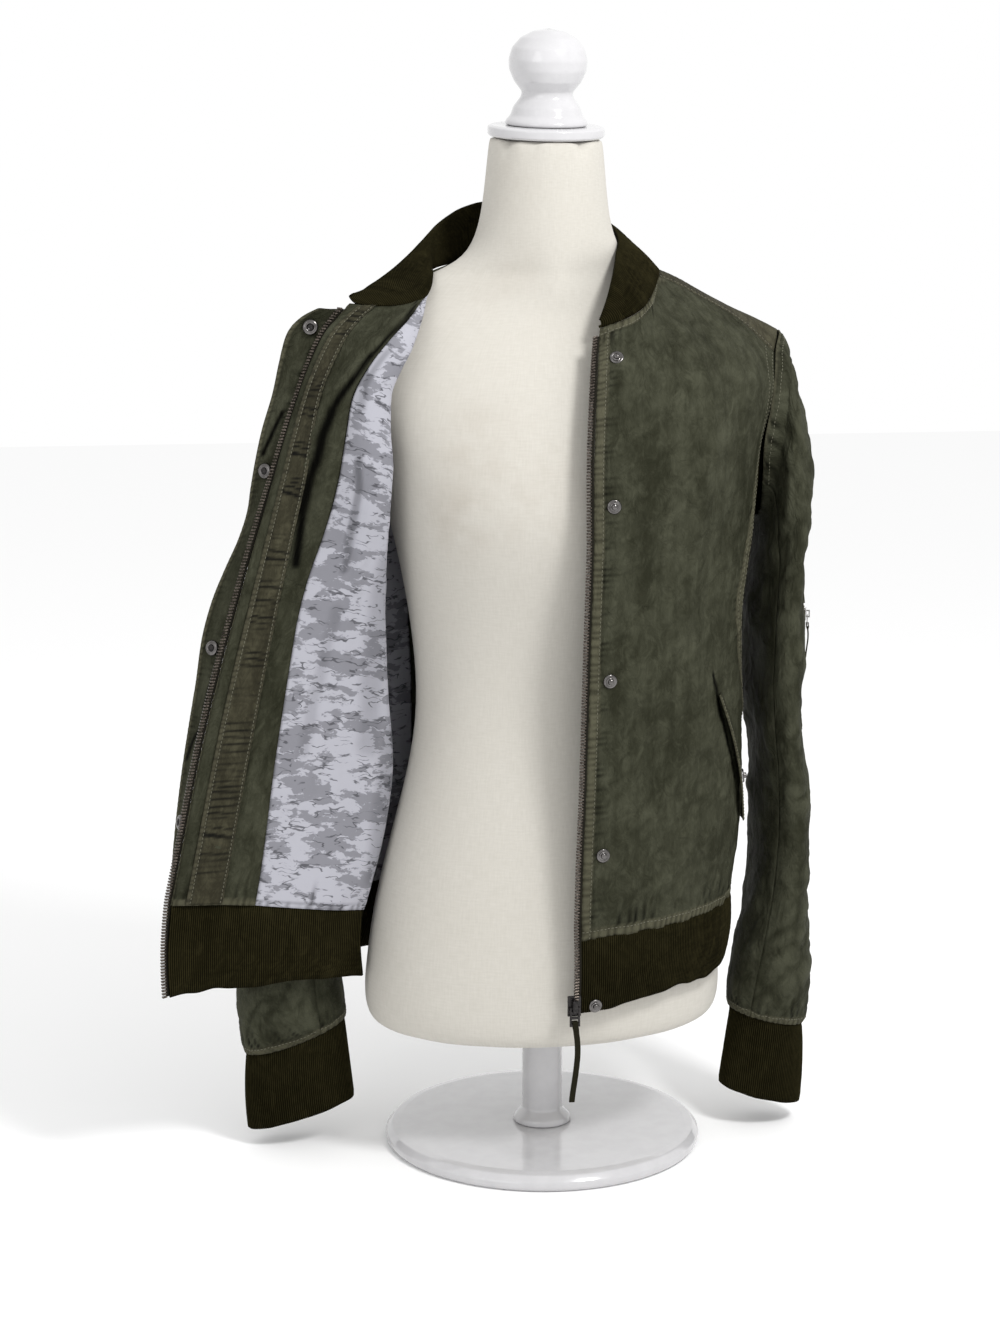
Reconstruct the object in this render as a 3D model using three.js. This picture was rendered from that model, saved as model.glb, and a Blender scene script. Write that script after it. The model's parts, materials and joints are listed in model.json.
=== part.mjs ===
// A women's bomber jacket, worn open on a limbless dress form that stands on a short pole and a round foot.
// Millimetres, +Z up. The origin is the middle of the foot's underside.
// The form faces -Y and the wearer's left is +X.
// The left front hangs closed at the centre. The right front is swung out, so that its lining shows.
import * as THREE from "three";

// Stand and dress form
const FOOT_RADIUS = 134;
const FOOT_HEIGHT = 14;
const POLE_RADIUS = 17;
const FORM_BOTTOM = 110;
const NECK_TOP = 843;
const PLATE_RADIUS = 47;
const PLATE_HEIGHT = 9;
const PLATE_TILT = THREE.MathUtils.degToRad(7);
const NECK_FORWARD = -4;
const FORM_SIDES = 26;

// Cloth and its seams
const SHELL = 1.3;
const LINING = 1.0;
const RIB = 2.6;
const SEAM_GAP = 0.45;
const LAYER_GAP = 0.6;
const LINING_GAP = 3.4;

// Hardware
const SNAP_RADIUS = 5.6;
const SOCKET_RADIUS = 6.3;
const SOCKET_HOLE = 2.7;
const TOOTH_REACH = 3.4;
const TOOTH_THICKNESS = 2.4;
const TAPE_THICKNESS = 1.0;
const STRAP_LENGTH = 68;

const FINISHES = {
  shell: { color: 0x45473a, roughness: 0.62, metalness: 0 },
  rib: { color: 0x2b2717, roughness: 0.9, metalness: 0 },
  gusset: { color: 0x3a3726, roughness: 0.9, metalness: 0 },
  lining: { color: 0xb4b2bb, roughness: 0.8, metalness: 0 },
  trim: { color: 0x514d3b, roughness: 0.75, metalness: 0 },
  zip: { color: 0x3a332c, roughness: 0.4, metalness: 0.8 },
  metal: { color: 0x8b8883, roughness: 0.3, metalness: 1 },
  linen: { color: 0xddd8cb, roughness: 0.9, metalness: 0 },
  paint: { color: 0xe9e8ee, roughness: 0.25, metalness: 0 },
};
const finish = Object.fromEntries(
  Object.entries(FINISHES).map(([name, look]) => [name, new THREE.MeshStandardMaterial({ name, ...look })]),
);

const jacketOnForm = new THREE.Group();
const vec = ([x, y, z]) => new THREE.Vector3(x, y, z);
const lerp = THREE.MathUtils.lerp;
const smooth = THREE.MathUtils.smoothstep;
const radians = THREE.MathUtils.degToRad;

function addMesh(name, geometry, material, parent = jacketOnForm) {
  const mesh = new THREE.Mesh(geometry, finish[material]);
  mesh.name = name;
  parent.add(mesh);
  return mesh;
}

// Reads a short table of [where, value] rows at any place between them.
function table(rows, at) {
  const next = rows.findIndex(([where]) => where >= at);
  if (next === 0) return rows[0][1];
  if (next < 0) return rows[rows.length - 1][1];
  const [[lowWhere, low], [highWhere, high]] = [rows[next - 1], rows[next]];
  return lerp(low, high, smooth(at, lowWhere, highWhere));
}

// A closed geometry from its corner points and its quads and triangles, turned to face out.
function closedGeometry(points, faces) {
  const triangles = faces.flatMap((f) => (f.length === 4 ? [f[0], f[1], f[2], f[0], f[2], f[3]] : f));
  let volume = 0;
  for (let i = 0; i < triangles.length; i += 3) {
    const [a, b, c] = triangles.slice(i, i + 3).map((k) => points[k]);
    volume += a.dot(b.clone().cross(c));
  }
  const index = volume < 0 ? triangles.reverse() : triangles;
  const geometry = new THREE.BufferGeometry();
  const places = points.flatMap((p) => p.toArray());
  geometry.setAttribute("position", new THREE.Float32BufferAttribute(places, 3));
  geometry.setIndex(index);
  geometry.computeVertexNormals();
  return geometry;
}

// Sections, each a loop of the same number of points, joined into one closed skin with flat ends.
function loft(sections) {
  const around = sections[0].length;
  const points = sections.flat();
  const faces = [];
  for (let i = 0; i + 1 < sections.length; i += 1)
    for (let j = 0; j < around; j += 1) {
      const next = (j + 1) % around;
      faces.push([i * around + j, i * around + next, (i + 1) * around + next, (i + 1) * around + j]);
    }
  const last = (sections.length - 1) * around;
  const ring = [...Array(around).keys()];
  const flat = THREE.ShapeUtils.triangulateShape(flattened(sections[0]), []);
  const flatEnd = THREE.ShapeUtils.triangulateShape(flattened(sections[sections.length - 1]), []);
  const turned = isClockwise(sections[0]);
  for (const t of flat) faces.push(turned ? t.map((k) => ring[k]) : t.map((k) => ring[k]).reverse());
  const turnedEnd = isClockwise(sections[sections.length - 1]);
  for (const t of flatEnd) {
    const face = t.map((k) => last + k);
    faces.push(turnedEnd ? face.reverse() : face);
  }
  return closedGeometry(points, faces);
}

// A loop's points in its own plane, for triangulating its end.
function flattened(loop) {
  const middle = loop.reduce((sum, p) => sum.add(p), new THREE.Vector3()).divideScalar(loop.length);
  const across = loop[0].clone().sub(middle).normalize();
  const normal = new THREE.Vector3();
  loop.forEach((p, i) => {
    const q = loop[(i + 1) % loop.length];
    normal.add(p.clone().sub(middle).cross(q.clone().sub(middle)));
  });
  const up = normal.normalize().cross(across);
  return loop.map((p) => {
    const d = p.clone().sub(middle);
    return new THREE.Vector2(d.dot(across), d.dot(up));
  });
}

const isClockwise = (loop) => THREE.ShapeUtils.isClockWise(flattened(loop));

// A share from 0 to 1 in equal steps.
const evenly = (steps) => Array.from({ length: steps + 1 }, (_, i) => i / steps);

// Shares between the given stops, each stretch in its own number of steps.
function stretches(stops, steps) {
  const shares = [stops[0]];
  steps.forEach((count, k) => {
    for (let i = 1; i <= count; i += 1) shares.push(lerp(stops[k], stops[k + 1], i / count));
  });
  return shares;
}

// A piece of cloth as a net of control rows, each with the same number of points.
// u runs along a row and v up the rows.
// Its grid is where every layer of that piece has its corners: across(v) gives u, and up gives v.
class Cloth {
  constructor(rows, { across, up, ripple = () => 0 }) {
    const columns = rows[0].map((_, column) => rows.map((row) => vec(row[column])));
    this.columns = columns.map((points) => new THREE.CatmullRomCurve3(points, false, "centripetal"));
    this.across = typeof across === "function" ? across : () => across;
    this.up = up;
    this.ripple = ripple;
    this.curves = new Map();
  }

  row(v) {
    if (!this.curves.has(v)) {
      const points = this.columns.map((column) => column.getPoint(v));
      this.curves.set(v, new THREE.CatmullRomCurve3(points, false, "centripetal"));
    }
    return this.curves.get(v);
  }

  base(u, v) {
    return this.row(THREE.MathUtils.clamp(v, 0, 1)).getPoint(THREE.MathUtils.clamp(u, 0, 1));
  }

  normal(u, v) {
    const step = 0.004;
    const [left, right] = [Math.max(u - step, 0), Math.min(u + step, 1)];
    const [low, high] = [Math.max(v - step, 0), Math.min(v + step, 1)];
    const across = this.base(right, v).sub(this.base(left, v));
    const up = this.base(u, high).sub(this.base(u, low));
    return across.cross(up).normalize();
  }

  point(u, v, out = 0) {
    return this.base(u, v).addScaledVector(this.normal(u, v), out + this.ripple(u, v));
  }

  // How far u moves for one millimetre along the row, and v for one millimetre up the column.
  perMillimetre(u, v) {
    const step = 0.02;
    const across = this.base(Math.min(u + step, 1), v).distanceTo(this.base(Math.max(u - step, 0), v));
    const up = this.base(u, Math.min(v + step, 1)).distanceTo(this.base(u, Math.max(v - step, 0)));
    const spanU = Math.min(u + step, 1) - Math.max(u - step, 0);
    const spanV = Math.min(v + step, 1) - Math.max(v - step, 0);
    return [spanU / across, spanV / up];
  }
}

// A wall of cloth: a stretch of a piece's grid between two offsets from it.
// Its rim is parted from the seams round it.
function wall(name, cloth, material, { columns, rows, under = 0, over = SHELL, gap = SEAM_GAP } = {}) {
  const [firstColumn, lastColumn] = columns ?? [0, cloth.across(0).length - 1];
  const [firstRow, lastRow] = rows ?? [0, cloth.up.length - 1];
  const inner = [];
  const outer = [];
  for (let j = firstRow; j <= lastRow; j += 1)
    for (let i = firstColumn; i <= lastColumn; i += 1) {
      let v = cloth.up[j];
      let u = cloth.across(v)[i];
      const [perU, perV] = cloth.perMillimetre(u, v);
      if (i === firstColumn) u += (gap / 2) * perU;
      if (i === lastColumn) u -= (gap / 2) * perU;
      if (j === firstRow) v += (gap / 2) * perV;
      if (j === lastRow) v -= (gap / 2) * perV;
      inner.push(cloth.point(u, v, under));
      outer.push(cloth.point(u, v, over));
    }
  addMesh(name, sandwich(inner, outer, lastColumn - firstColumn, lastRow - firstRow), material);
}

// Two grids of points, joined round their rims.
function sandwich(inner, outer, across, up) {
  const wide = across + 1;
  const count = inner.length;
  const faces = [];
  for (let j = 0; j < up; j += 1)
    for (let i = 0; i < across; i += 1) {
      const corner = j * wide + i;
      const quad = [corner, corner + 1, corner + 1 + wide, corner + wide];
      const [a, b, c, d] = quad;
      faces.push(quad.map((k) => k + count));
      faces.push([c, b, a, d]);
    }
  const rim = [];
  for (let i = 0; i < across; i += 1) rim.push([i, i + 1]);
  for (let j = 0; j < up; j += 1) rim.push([j * wide + across, (j + 1) * wide + across]);
  for (let i = across; i > 0; i -= 1) rim.push([up * wide + i, up * wide + i - 1]);
  for (let j = up; j > 0; j -= 1) rim.push([j * wide, (j - 1) * wide]);
  for (const [a, b] of rim) faces.push([a, b, b + count, a + count]);
  return closedGeometry([...inner, ...outer], faces);
}

// Dress form: level rings with a rounded foot edge, a bust, a waist and sloping shoulders.
const FORM_RINGS = [
  // half width, depths before and behind the middle, the middle's y, and a power: 2 is an ellipse
  { z: FORM_BOTTOM, half: 139, front: 97, back: 90, y: 0, power: 2 },
  { z: 113, half: 147, front: 103, back: 96, y: 0, power: 2 },
  { z: 122, half: 152, front: 107, back: 100, y: 0, power: 2 },
  { z: 140, half: 154, front: 108, back: 102, y: 0, power: 2 },
  { z: 166, half: 151, front: 108, back: 102, y: 0, power: 2 },
  { z: 205, half: 146, front: 105, back: 101, y: 0, power: 2 },
  { z: 264, half: 132, front: 99, back: 94, y: 0, power: 2 },
  { z: 327, half: 114, front: 89, back: 80, y: 0, power: 2 },
  { z: 380, half: 106, front: 83, back: 73, y: 0, power: 2 },
  { z: 435, half: 110, front: 89, back: 76, y: 0, power: 2 },
  { z: 485, half: 118, front: 104, back: 84, y: 0, power: 2 },
  { z: 530, half: 128, front: 118, back: 92, y: 0, power: 2 },
  { z: 565, half: 138, front: 117, back: 97, y: 0, power: 2 },
  { z: 605, half: 155, front: 105, back: 99, y: 0, power: 2 },
  { z: 640, half: 170, front: 91, back: 92, y: 1, power: 1.9 },
  { z: 664, half: 176, front: 77, back: 82, y: 1, power: 1.8 },
  { z: 681, half: 176, front: 66, back: 73, y: 1, power: 1.6 },
  { z: 692, half: 171, front: 60, back: 66, y: 1, power: 1.5 },
  { z: 701, half: 158, front: 56, back: 61, y: 1, power: 1.4 },
  { z: 709.5, half: 141, front: 55, back: 57, y: 1, power: 1.25 },
  { z: 718.5, half: 124, front: 54, back: 55, y: 1, power: 1.2 },
  { z: 727, half: 108, front: 53, back: 54, y: 1, power: 1.2 },
  { z: 733.5, half: 91.5, front: 52, back: 54, y: 1, power: 1.25 },
  { z: 745, half: 66, front: 52, back: 53, y: 1, power: 1.7 },
  { z: 768, half: 53.5, front: 51, back: 51, y: 0, power: 2 },
  { z: 805, half: 49, front: 48, back: 48, y: -2, power: 2 },
  { z: NECK_TOP - 3, half: 46, front: 46, back: 46, y: NECK_FORWARD, power: 2 },
];

// A signed power, for rings rounder or more pointed than an ellipse.
const bend = (value, power) => Math.sign(value) * Math.abs(value) ** power;

function formRing({ z, half, front, back, y, power }, tilt = 0) {
  const loop = [];
  for (let k = 0; k < FORM_SIDES; k += 1) {
    const angle = (k / FORM_SIDES) * 2 * Math.PI;
    const depth = Math.cos(angle) > 0 ? front : back;
    const away = -bend(Math.cos(angle), 2 / power) * depth;
    const across = bend(Math.sin(angle), 2 / power) * half;
    loop.push(new THREE.Vector3(across, y + away, z + away * Math.tan(tilt)));
  }
  return loop;
}

function addDressForm() {
  const last = FORM_RINGS.length - 1;
  const rings = FORM_RINGS.map((ring, i) => formRing(ring, i === last ? PLATE_TILT : 0));
  addMesh("dress_form", loft(rings), "linen");

  const neck = new THREE.Group();
  neck.position.set(0, NECK_FORWARD, NECK_TOP);
  neck.rotation.x = PLATE_TILT;
  jacketOnForm.add(neck);
  const turned = (profile, sides = FORM_SIDES) => {
    const points = profile.map(([radius, height]) => new THREE.Vector2(radius, height));
    return new THREE.LatheGeometry(points, sides).rotateX(Math.PI / 2);
  };
  const plate = [
    [0, -2.6],
    [PLATE_RADIUS - 2, -2.6],
    [PLATE_RADIUS, -1],
    [PLATE_RADIUS, PLATE_HEIGHT - 4],
    [PLATE_RADIUS - 2.5, PLATE_HEIGHT - 2.6],
    [0, PLATE_HEIGHT - 2.6],
  ];
  addMesh("neck_plate", turned(plate), "paint", neck);
  const finialFoot = PLATE_HEIGHT - 2.3;
  const finial = [
    [0, 0],
    [33, 0],
    [33, 3],
    [29, 7.5],
    [27, 14],
    [21, 22],
    [20.5, 26],
    [27, 34],
    [31, 43],
    [31.5, 51],
    [29, 60],
    [22, 68],
    [12, 73],
    [0, 75],
  ].map(([radius, height]) => [radius, height + finialFoot]);
  addMesh("finial", turned(finial, 14), "paint", neck);

  const foot = [
    [0, 0],
    [FOOT_RADIUS - 3, 0],
    [FOOT_RADIUS, 3],
    [FOOT_RADIUS, FOOT_HEIGHT - 6],
    [FOOT_RADIUS - 5, FOOT_HEIGHT - 1],
    [FOOT_RADIUS - 12, FOOT_HEIGHT],
    [0, FOOT_HEIGHT],
  ];
  addMesh("stand_foot", turned(foot), "paint");
  const pole = [
    [0, FOOT_HEIGHT + 0.3],
    [POLE_RADIUS + 8, FOOT_HEIGHT + 0.3],
    [POLE_RADIUS + 7, FOOT_HEIGHT + 5],
    [POLE_RADIUS, FOOT_HEIGHT + 12],
    [POLE_RADIUS, FORM_BOTTOM - 8],
    [POLE_RADIUS + 7, FORM_BOTTOM - 3],
    [POLE_RADIUS + 7, FORM_BOTTOM - 0.3],
    [0, FORM_BOTTOM - 0.3],
  ];
  addMesh("stand_pole", turned(pole, 14), "paint");
}

// Jacket body below the armholes: level rings round the form. Seams are angles from the centre front.
const BODY_RINGS = [
  { z: 214, half: 157, front: 122, back: 108, zipX: 5, frontSeam: 88, backSeam: 112 },
  { z: 270, half: 164, front: 124, back: 110, zipX: 6, frontSeam: 90, backSeam: 112 },
  { z: 330, half: 166, front: 125, back: 111, zipX: 8, frontSeam: 88, backSeam: 112 },
  { z: 389, half: 165, front: 127, back: 112, zipX: 9, frontSeam: 79, backSeam: 111 },
  { z: 463, half: 169, front: 131, back: 114, zipX: 10, frontSeam: 62, backSeam: 110 },
  { z: 525, half: 174, front: 134, back: 116, zipX: 11, frontSeam: 66, backSeam: 110 },
];
const RING_SQUARENESS = 2.15;

// A point of a body ring. The angle turns from the centre front, over the wearer's left, to the back.
function ringPoint({ z, half, front, back }, degrees) {
  const [across, ahead] = [Math.sin(radians(degrees)), Math.cos(radians(degrees))];
  const depth = ahead > 0 ? front : back;
  return [half * bend(across, 2 / RING_SQUARENESS), -depth * bend(ahead, 2 / RING_SQUARENESS), z];
}

function ringStretch(ring, from, to, columns) {
  return Array.from({ length: columns }, (_, i) => ringPoint(ring, lerp(from, to, i / (columns - 1))));
}

function zipAngle({ half, zipX }) {
  return THREE.MathUtils.radToDeg(Math.asin((zipX / half) ** (RING_SQUARENESS / 2)));
}
const mirrored = ([x, y, z]) => [-x, y, z];

// Upper rows of the left front: from the zip, or the neckline, to the armhole, or the shoulder point.
const LEFT_CHEST_ROWS = [
  { zip: [12, -130, 584], a: [44, -134, 586], b: [76, -133, 588], c: [106, -124, 590],
    d: [134, -105, 591], e: [154, -80, 592], arm: [168, -49, 592] },
  { zip: [18, -112, 640], a: [47, -116, 645], b: [77, -111, 650], c: [107, -101, 652],
    d: [136, -87, 650], e: [160, -71, 645], arm: [178, -50, 637] },
  { zip: [27, -82, 690], a: [54, -75, 699], b: [76, -46, 712], c: [91, -14, 728],
    d: [122, -18, 714], e: [156, -26, 694], arm: [184, -32, 668] },
];
const LEFT_COLUMNS = ["zip", "a", "b", "c", "d", "e", "arm"];
// How far the left front's lower edge lies below or above its lowest ring.
const LEFT_HEM_LINE = [-7, -4, -2, 0, 1, 3, 4];
const leftFrontNet = [
  ...BODY_RINGS.map((ring) => ringStretch(ring, zipAngle(ring), ring.frontSeam, LEFT_COLUMNS.length)),
  ...LEFT_CHEST_ROWS.map((row) => LEFT_COLUMNS.map((column) => row[column])),
];

leftFrontNet[0].forEach((point, column) => (point[2] += LEFT_HEM_LINE[column]));

// Rows of the right front, from the side seam or armhole, round the fold beside the form, out to its zip.
const RIGHT_FRONT_ROWS = [
  { arm: [-161, 4, 214], a: [-160, -3, 213], b: [-158, -9, 212], fold: [-156, -15, 212],
    c: [-197, -33, 219], d: [-255, -37, 227], zip: [-315, -53, 234] },
  { arm: [-148, 8, 270], a: [-145, 2, 270], b: [-141, -4, 270], fold: [-138, -10, 270],
    c: [-186, -27, 271], d: [-246, -34, 273], zip: [-306, -52, 275] },
  { arm: [-141, 10, 330], a: [-137, 4, 330], b: [-133, -2, 330], fold: [-129, -8, 330],
    c: [-178, -25, 330], d: [-236, -32, 330], zip: [-294, -51, 332] },
  { arm: [-145, 6, 389], a: [-141, 0, 390], b: [-137, -7, 391], fold: [-133, -13, 392],
    c: [-172, -28, 393], d: [-224, -34, 393], zip: [-279, -47, 394] },
  { arm: [-153, -2, 463], a: [-148, -9, 463], b: [-142, -18, 463], fold: [-137, -27, 463],
    c: [-166, -40, 463], d: [-211, -39, 463], zip: [-260, -45, 463] },
  { arm: [-168, -16, 525], a: [-161, -26, 525], b: [-149, -37, 525], fold: [-137, -48, 525],
    c: [-158, -58, 525], d: [-199, -52, 525], zip: [-242, -45, 525] },
  { arm: [-172, -34, 592], a: [-163, -48, 588], b: [-149, -58, 585], fold: [-136, -68, 582],
    c: [-155, -77, 580], d: [-189, -66, 578], zip: [-226, -46, 577] },
  { arm: [-180, -39, 637], a: [-168, -52, 640], b: [-152, -62, 642], fold: [-137, -73, 642],
    c: [-154, -82, 641], d: [-180, -68, 639], zip: [-207, -47, 637] },
  { arm: [-184, -36, 655], a: [-167, -44, 668], b: [-144, -56, 675], fold: [-119, -68, 678],
    c: [-133, -75, 682], d: [-158, -62, 684], zip: [-186, -47, 686] },
  { arm: [-186, -29, 668], a: [-160, -20, 696], b: [-124, -13, 717], fold: [-95, -11, 728],
    c: [-107, -33, 713], d: [-133, -40, 709], zip: [-165, -47, 710] },
];
const RIGHT_COLUMNS = ["arm", "a", "b", "fold", "c", "d", "zip"];
const rightFrontNet = RIGHT_FRONT_ROWS.map((row) => RIGHT_COLUMNS.map((column) => row[column]));

// Upper rows of the back, from the left armhole to the centre. The right half mirrors them.
const BACK_ROWS = [
  { arm: [168, 52, 592], a: [139, 97, 593], b: [92, 113, 594], c: [45, 118, 594], middle: [0, 119, 594] },
  { arm: [178, 46, 640], a: [142, 84, 646], b: [94, 99, 651], c: [46, 106, 654], middle: [0, 107, 655] },
  { arm: [190, 20, 676], a: [142, 16, 708], b: [90, 14, 733], c: [52, 54, 741], middle: [0, 74, 741] },
];
const BACK_COLUMNS = ["arm", "a", "b", "c", "middle"];
const RIGHT_BACK_SEAM = [
  { x: -164, y: 44 },
  { x: -160, y: 50 },
  { x: -157, y: 52 },
  { x: -160, y: 50 },
  { x: -165, y: 48 },
  { x: -171, y: 46 },
];
const backNet = [
  ...BODY_RINGS.map((ring, i) => {
    const row = ringStretch(ring, ring.backSeam, 360 - ring.backSeam, 2 * BACK_COLUMNS.length - 1);
    row[row.length - 1] = [RIGHT_BACK_SEAM[i].x, RIGHT_BACK_SEAM[i].y, ring.z];
    return row;
  }),
  ...BACK_ROWS.map((row) => {
    const left = BACK_COLUMNS.map((column) => row[column]);
    return [...left, ...left.slice(0, -1).reverse().map(mirrored)];
  }),
];

// Soft vertical folds and the gathers over the ribbed hem, as distances out from the net.
function bodyRipple({ folds, gathers, gatherDepth }) {
  return (u, v) => {
    let out = 0;
    for (const { at, lean, low, high, width, depth } of folds) {
      const middle = at + lean * (v - low);
      const along = smooth(v, low, low + 0.12) * (1 - smooth(v, high - 0.15, high));
      out += depth * along * Math.exp(-(((u - middle) / width) ** 2));
    }
    const nearHem = 1 - smooth(v, 0.0, 0.13);
    const edges = smooth(u, 0.02, 0.08) * (1 - smooth(u, 0.92, 0.98));
    return out + gatherDepth * nearHem * edges * Math.sin(2 * Math.PI * gathers * u);
  };
}
const LEFT_FRONT_FOLDS = [
  { at: 0.3, lean: 0.06, low: 0.45, high: 1.0, width: 0.07, depth: -3 },
  { at: 0.46, lean: 0.05, low: 0.4, high: 1.0, width: 0.07, depth: 2.5 },
  { at: 0.62, lean: 0.05, low: 0.35, high: 0.98, width: 0.06, depth: -2.5 },
  { at: 0.25, lean: 0.1, low: 0.02, high: 0.45, width: 0.08, depth: -2.5 },
  { at: 0.55, lean: -0.1, low: 0.05, high: 0.5, width: 0.09, depth: 2.5 },
];
const RIGHT_FRONT_FOLDS = [
  { at: 0.76, lean: 0.0, low: 0.45, high: 0.96, width: 0.04, depth: 4 },
  { at: 0.66, lean: 0.02, low: 0.05, high: 0.6, width: 0.06, depth: 2.5 },
  { at: 0.88, lean: -0.02, low: 0.1, high: 0.5, width: 0.05, depth: -1.5 },
];
const BACK_FOLDS = [
  { at: 0.2, lean: 0.08, low: 0.1, high: 0.9, width: 0.04, depth: -3 },
  { at: 0.38, lean: 0.02, low: 0.05, high: 0.7, width: 0.05, depth: 2.5 },
  { at: 0.6, lean: -0.02, low: 0.1, high: 0.75, width: 0.05, depth: -2.5 },
  { at: 0.8, lean: -0.06, low: 0.1, high: 0.9, width: 0.04, depth: -3 },
];

// Where the right front's olive facing gives way to the printed lining.
const FACING_EDGE = [
  // [share up the front, share across it]
  [0, 0.81],
  [0.45, 0.825],
  [0.62, 0.79],
  [0.75, 0.77],
  [0.85, 0.74],
  [0.92, 0.68],
  [1, 0.6],
];
const BAND = { from: 0.885, to: 0.975 };
const RIGHT_STEPS = { lining: 12, facing: 4, band: 2, zip: 1 };
const LEFT_STEPS = 18;
const BODY_STEPS = 12;
const BODY_ROWS = BODY_RINGS.length;
const CHEST_STEPS = 6;

// The grid rows of a panel: the body part ends at the armhole's notch, and the chest part lies above it.
const panelRows = (net) => stretches([0, BODY_ROWS / (net.length - 1), 1], [BODY_STEPS, CHEST_STEPS]);
const leftFront = new Cloth(leftFrontNet, {
  across: evenly(LEFT_STEPS),
  up: panelRows(leftFrontNet),
  ripple: bodyRipple({ folds: LEFT_FRONT_FOLDS, gathers: 8, gatherDepth: 0.9 }),
});
const rightFront = new Cloth(rightFrontNet, {
  across: (v) => stretches([0, table(FACING_EDGE, v), BAND.from, BAND.to, 1], Object.values(RIGHT_STEPS)),
  up: panelRows(rightFrontNet),
  ripple: bodyRipple({ folds: RIGHT_FRONT_FOLDS, gathers: 8, gatherDepth: 0.9 }),
});
const BACK_STEPS = 20;
const back = new Cloth(backNet, {
  across: evenly(BACK_STEPS),
  up: panelRows(backNet),
  ripple: bodyRipple({ folds: BACK_FOLDS, gathers: 12, gatherDepth: 0.9 }),
});

// The knitted side panels join the front's and the back's edges, and end in a hollow curve under the arm.
const SIDE_DIP = [
  // [grid row, how far the middle hangs below the edges]
  [7, 0],
  [8, 4],
  [9, 12],
  [10, 24],
  [11, 44],
  [12, 62],
];
const SIDE_BULGE = { left: 7, right: 4 };
function sidePanel(side, firstEdge, lastEdge) {
  const outward = side === "left" ? 1 : -1;
  const rows = evenly(BODY_STEPS).map((share, j) => {
    const [start, end] = [firstEdge(j), lastEdge(j)];
    return evenly(4).map((s) => {
      const p = start.clone().lerp(end, s);
      p.x += outward * SIDE_BULGE[side] * Math.sin(Math.PI * s);
      p.z -= table(SIDE_DIP, j) * Math.sin(Math.PI * s) ** 1.4;
      return p.toArray();
    });
  });
  return new Cloth(rows, { across: evenly(5), up: evenly(BODY_STEPS) });
}
const seamEdge = (cloth, u) => (j) => cloth.base(u, cloth.up[j]);
const leftSide = sidePanel("left", seamEdge(leftFront, 1), seamEdge(back, 0));
const rightSide = sidePanel("right", seamEdge(back, 1), seamEdge(rightFront, 0));

// The height along the rows that stands for a real height on the straight part of a panel.
const RIGHT_ROWS = rightFrontNet.length - 1;
const LEFT_ROWS = leftFrontNet.length - 1;
const rowAtHeight = (z, rows) => {
  const next = BODY_RINGS.findIndex((ring) => ring.z >= z);
  if (next < 1) return next === 0 ? 0 : (BODY_RINGS.length - 1) / rows;
  const [low, high] = [BODY_RINGS[next - 1].z, BODY_RINGS[next].z];
  return (next - 1 + (z - low) / (high - low)) / rows;
};

function addBody() {
  wall("front_left", leftFront, "shell");
  wall("front_right", rightFront, "shell");
  wall("back", back, "shell");
  wall("side_panel_left", leftSide, "gusset");
  wall("side_panel_right", rightSide, "gusset");

  const under = -LAYER_GAP - LINING;
  const over = -LAYER_GAP;
  const facingStart = RIGHT_STEPS.lining;
  const bandStart = facingStart + RIGHT_STEPS.facing;
  const lastColumn = rightFront.across(0).length - 1;
  wall("lining_right", rightFront, "lining", { columns: [0, facingStart], under, over });
  wall("facing_right", rightFront, "shell", { columns: [facingStart, lastColumn], under, over });
  const linings = { under, over, gap: LINING_GAP };
  wall("lining_side", rightSide, "lining", { rows: [0, BODY_STEPS - 1], ...linings });
  wall("lining_back", back, "lining", { columns: [BACK_STEPS - 5, BACK_STEPS], ...linings });
  wall("facing_band", rightFront, "trim", {
    columns: [bandStart, bandStart + RIGHT_STEPS.band],
    under: under - LAYER_GAP - 1,
    over: under - LAYER_GAP,
    gap: 2.4,
  });
}

// Shoulder bands lie over the ridge of the shoulder, between the fronts and the back.
const SHOULDER_RIDGE = {
  left: [
    [92, 0, 735],
    [108, 0, 728.5],
    [124, 0, 720],
    [141, 0, 711],
    [158, -1, 702.5],
    [177, -3, 694],
    [195, -4, 685],
  ],
  right: [
    [-92, 2, 735],
    [-108, 2, 728.5],
    [-124, 2, 720],
    [-141, 1, 711],
    [-158, 0, 702.5],
    [-176, -1, 694],
    [-193, -2, 684],
  ],
};
const SHOULDER_STEPS = 8;
const BAND_GAP = 1.7;

function shoulderBand(side) {
  const ridge = new THREE.CatmullRomCurve3(SHOULDER_RIDGE[side].map(vec));
  const left = side === "left";
  const seam = (cloth, neck, tip) => evenly(6).map((s) => cloth.base(lerp(neck, tip, s), 1).toArray());
  const front = left ? seam(leftFront, 0.5, 1) : seam(rightFront, 0.5, 0);
  const behind = left ? seam(back, 0.25, 0) : seam(back, 0.75, 1);
  const rows = [front, evenly(6).map((s) => ridge.getPoint(s).toArray()), behind];
  if (!left) rows.forEach((row) => row.reverse());
  return new Cloth(rows, { across: evenly(SHOULDER_STEPS), up: evenly(4) });
}
const shoulderBands = { left: shoulderBand("left"), right: shoulderBand("right") };

// The ribbed hem hangs from the body's lowest edge, round the form and out along the right front.
const HEM_DROP = [
  // [share of the way round from the left zip, height of the band]
  [0, 62],
  [0.12, 58],
  [0.22, 54],
  [0.5, 58],
  [0.72, 54],
  [0.9, 60],
  [0.96, 70],
  [1, 79],
];
const HEM_TUCK = [
  // [share of the way round, how far the lower edge is drawn in]
  [0, 4],
  [0.1, 7],
  [0.22, 3],
  [0.62, 1],
  [0.7, -4],
  [0.85, 0],
  [1, -3],
];
const HEM_STEPS = 56;
const HEM_BELLY = 2;

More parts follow.
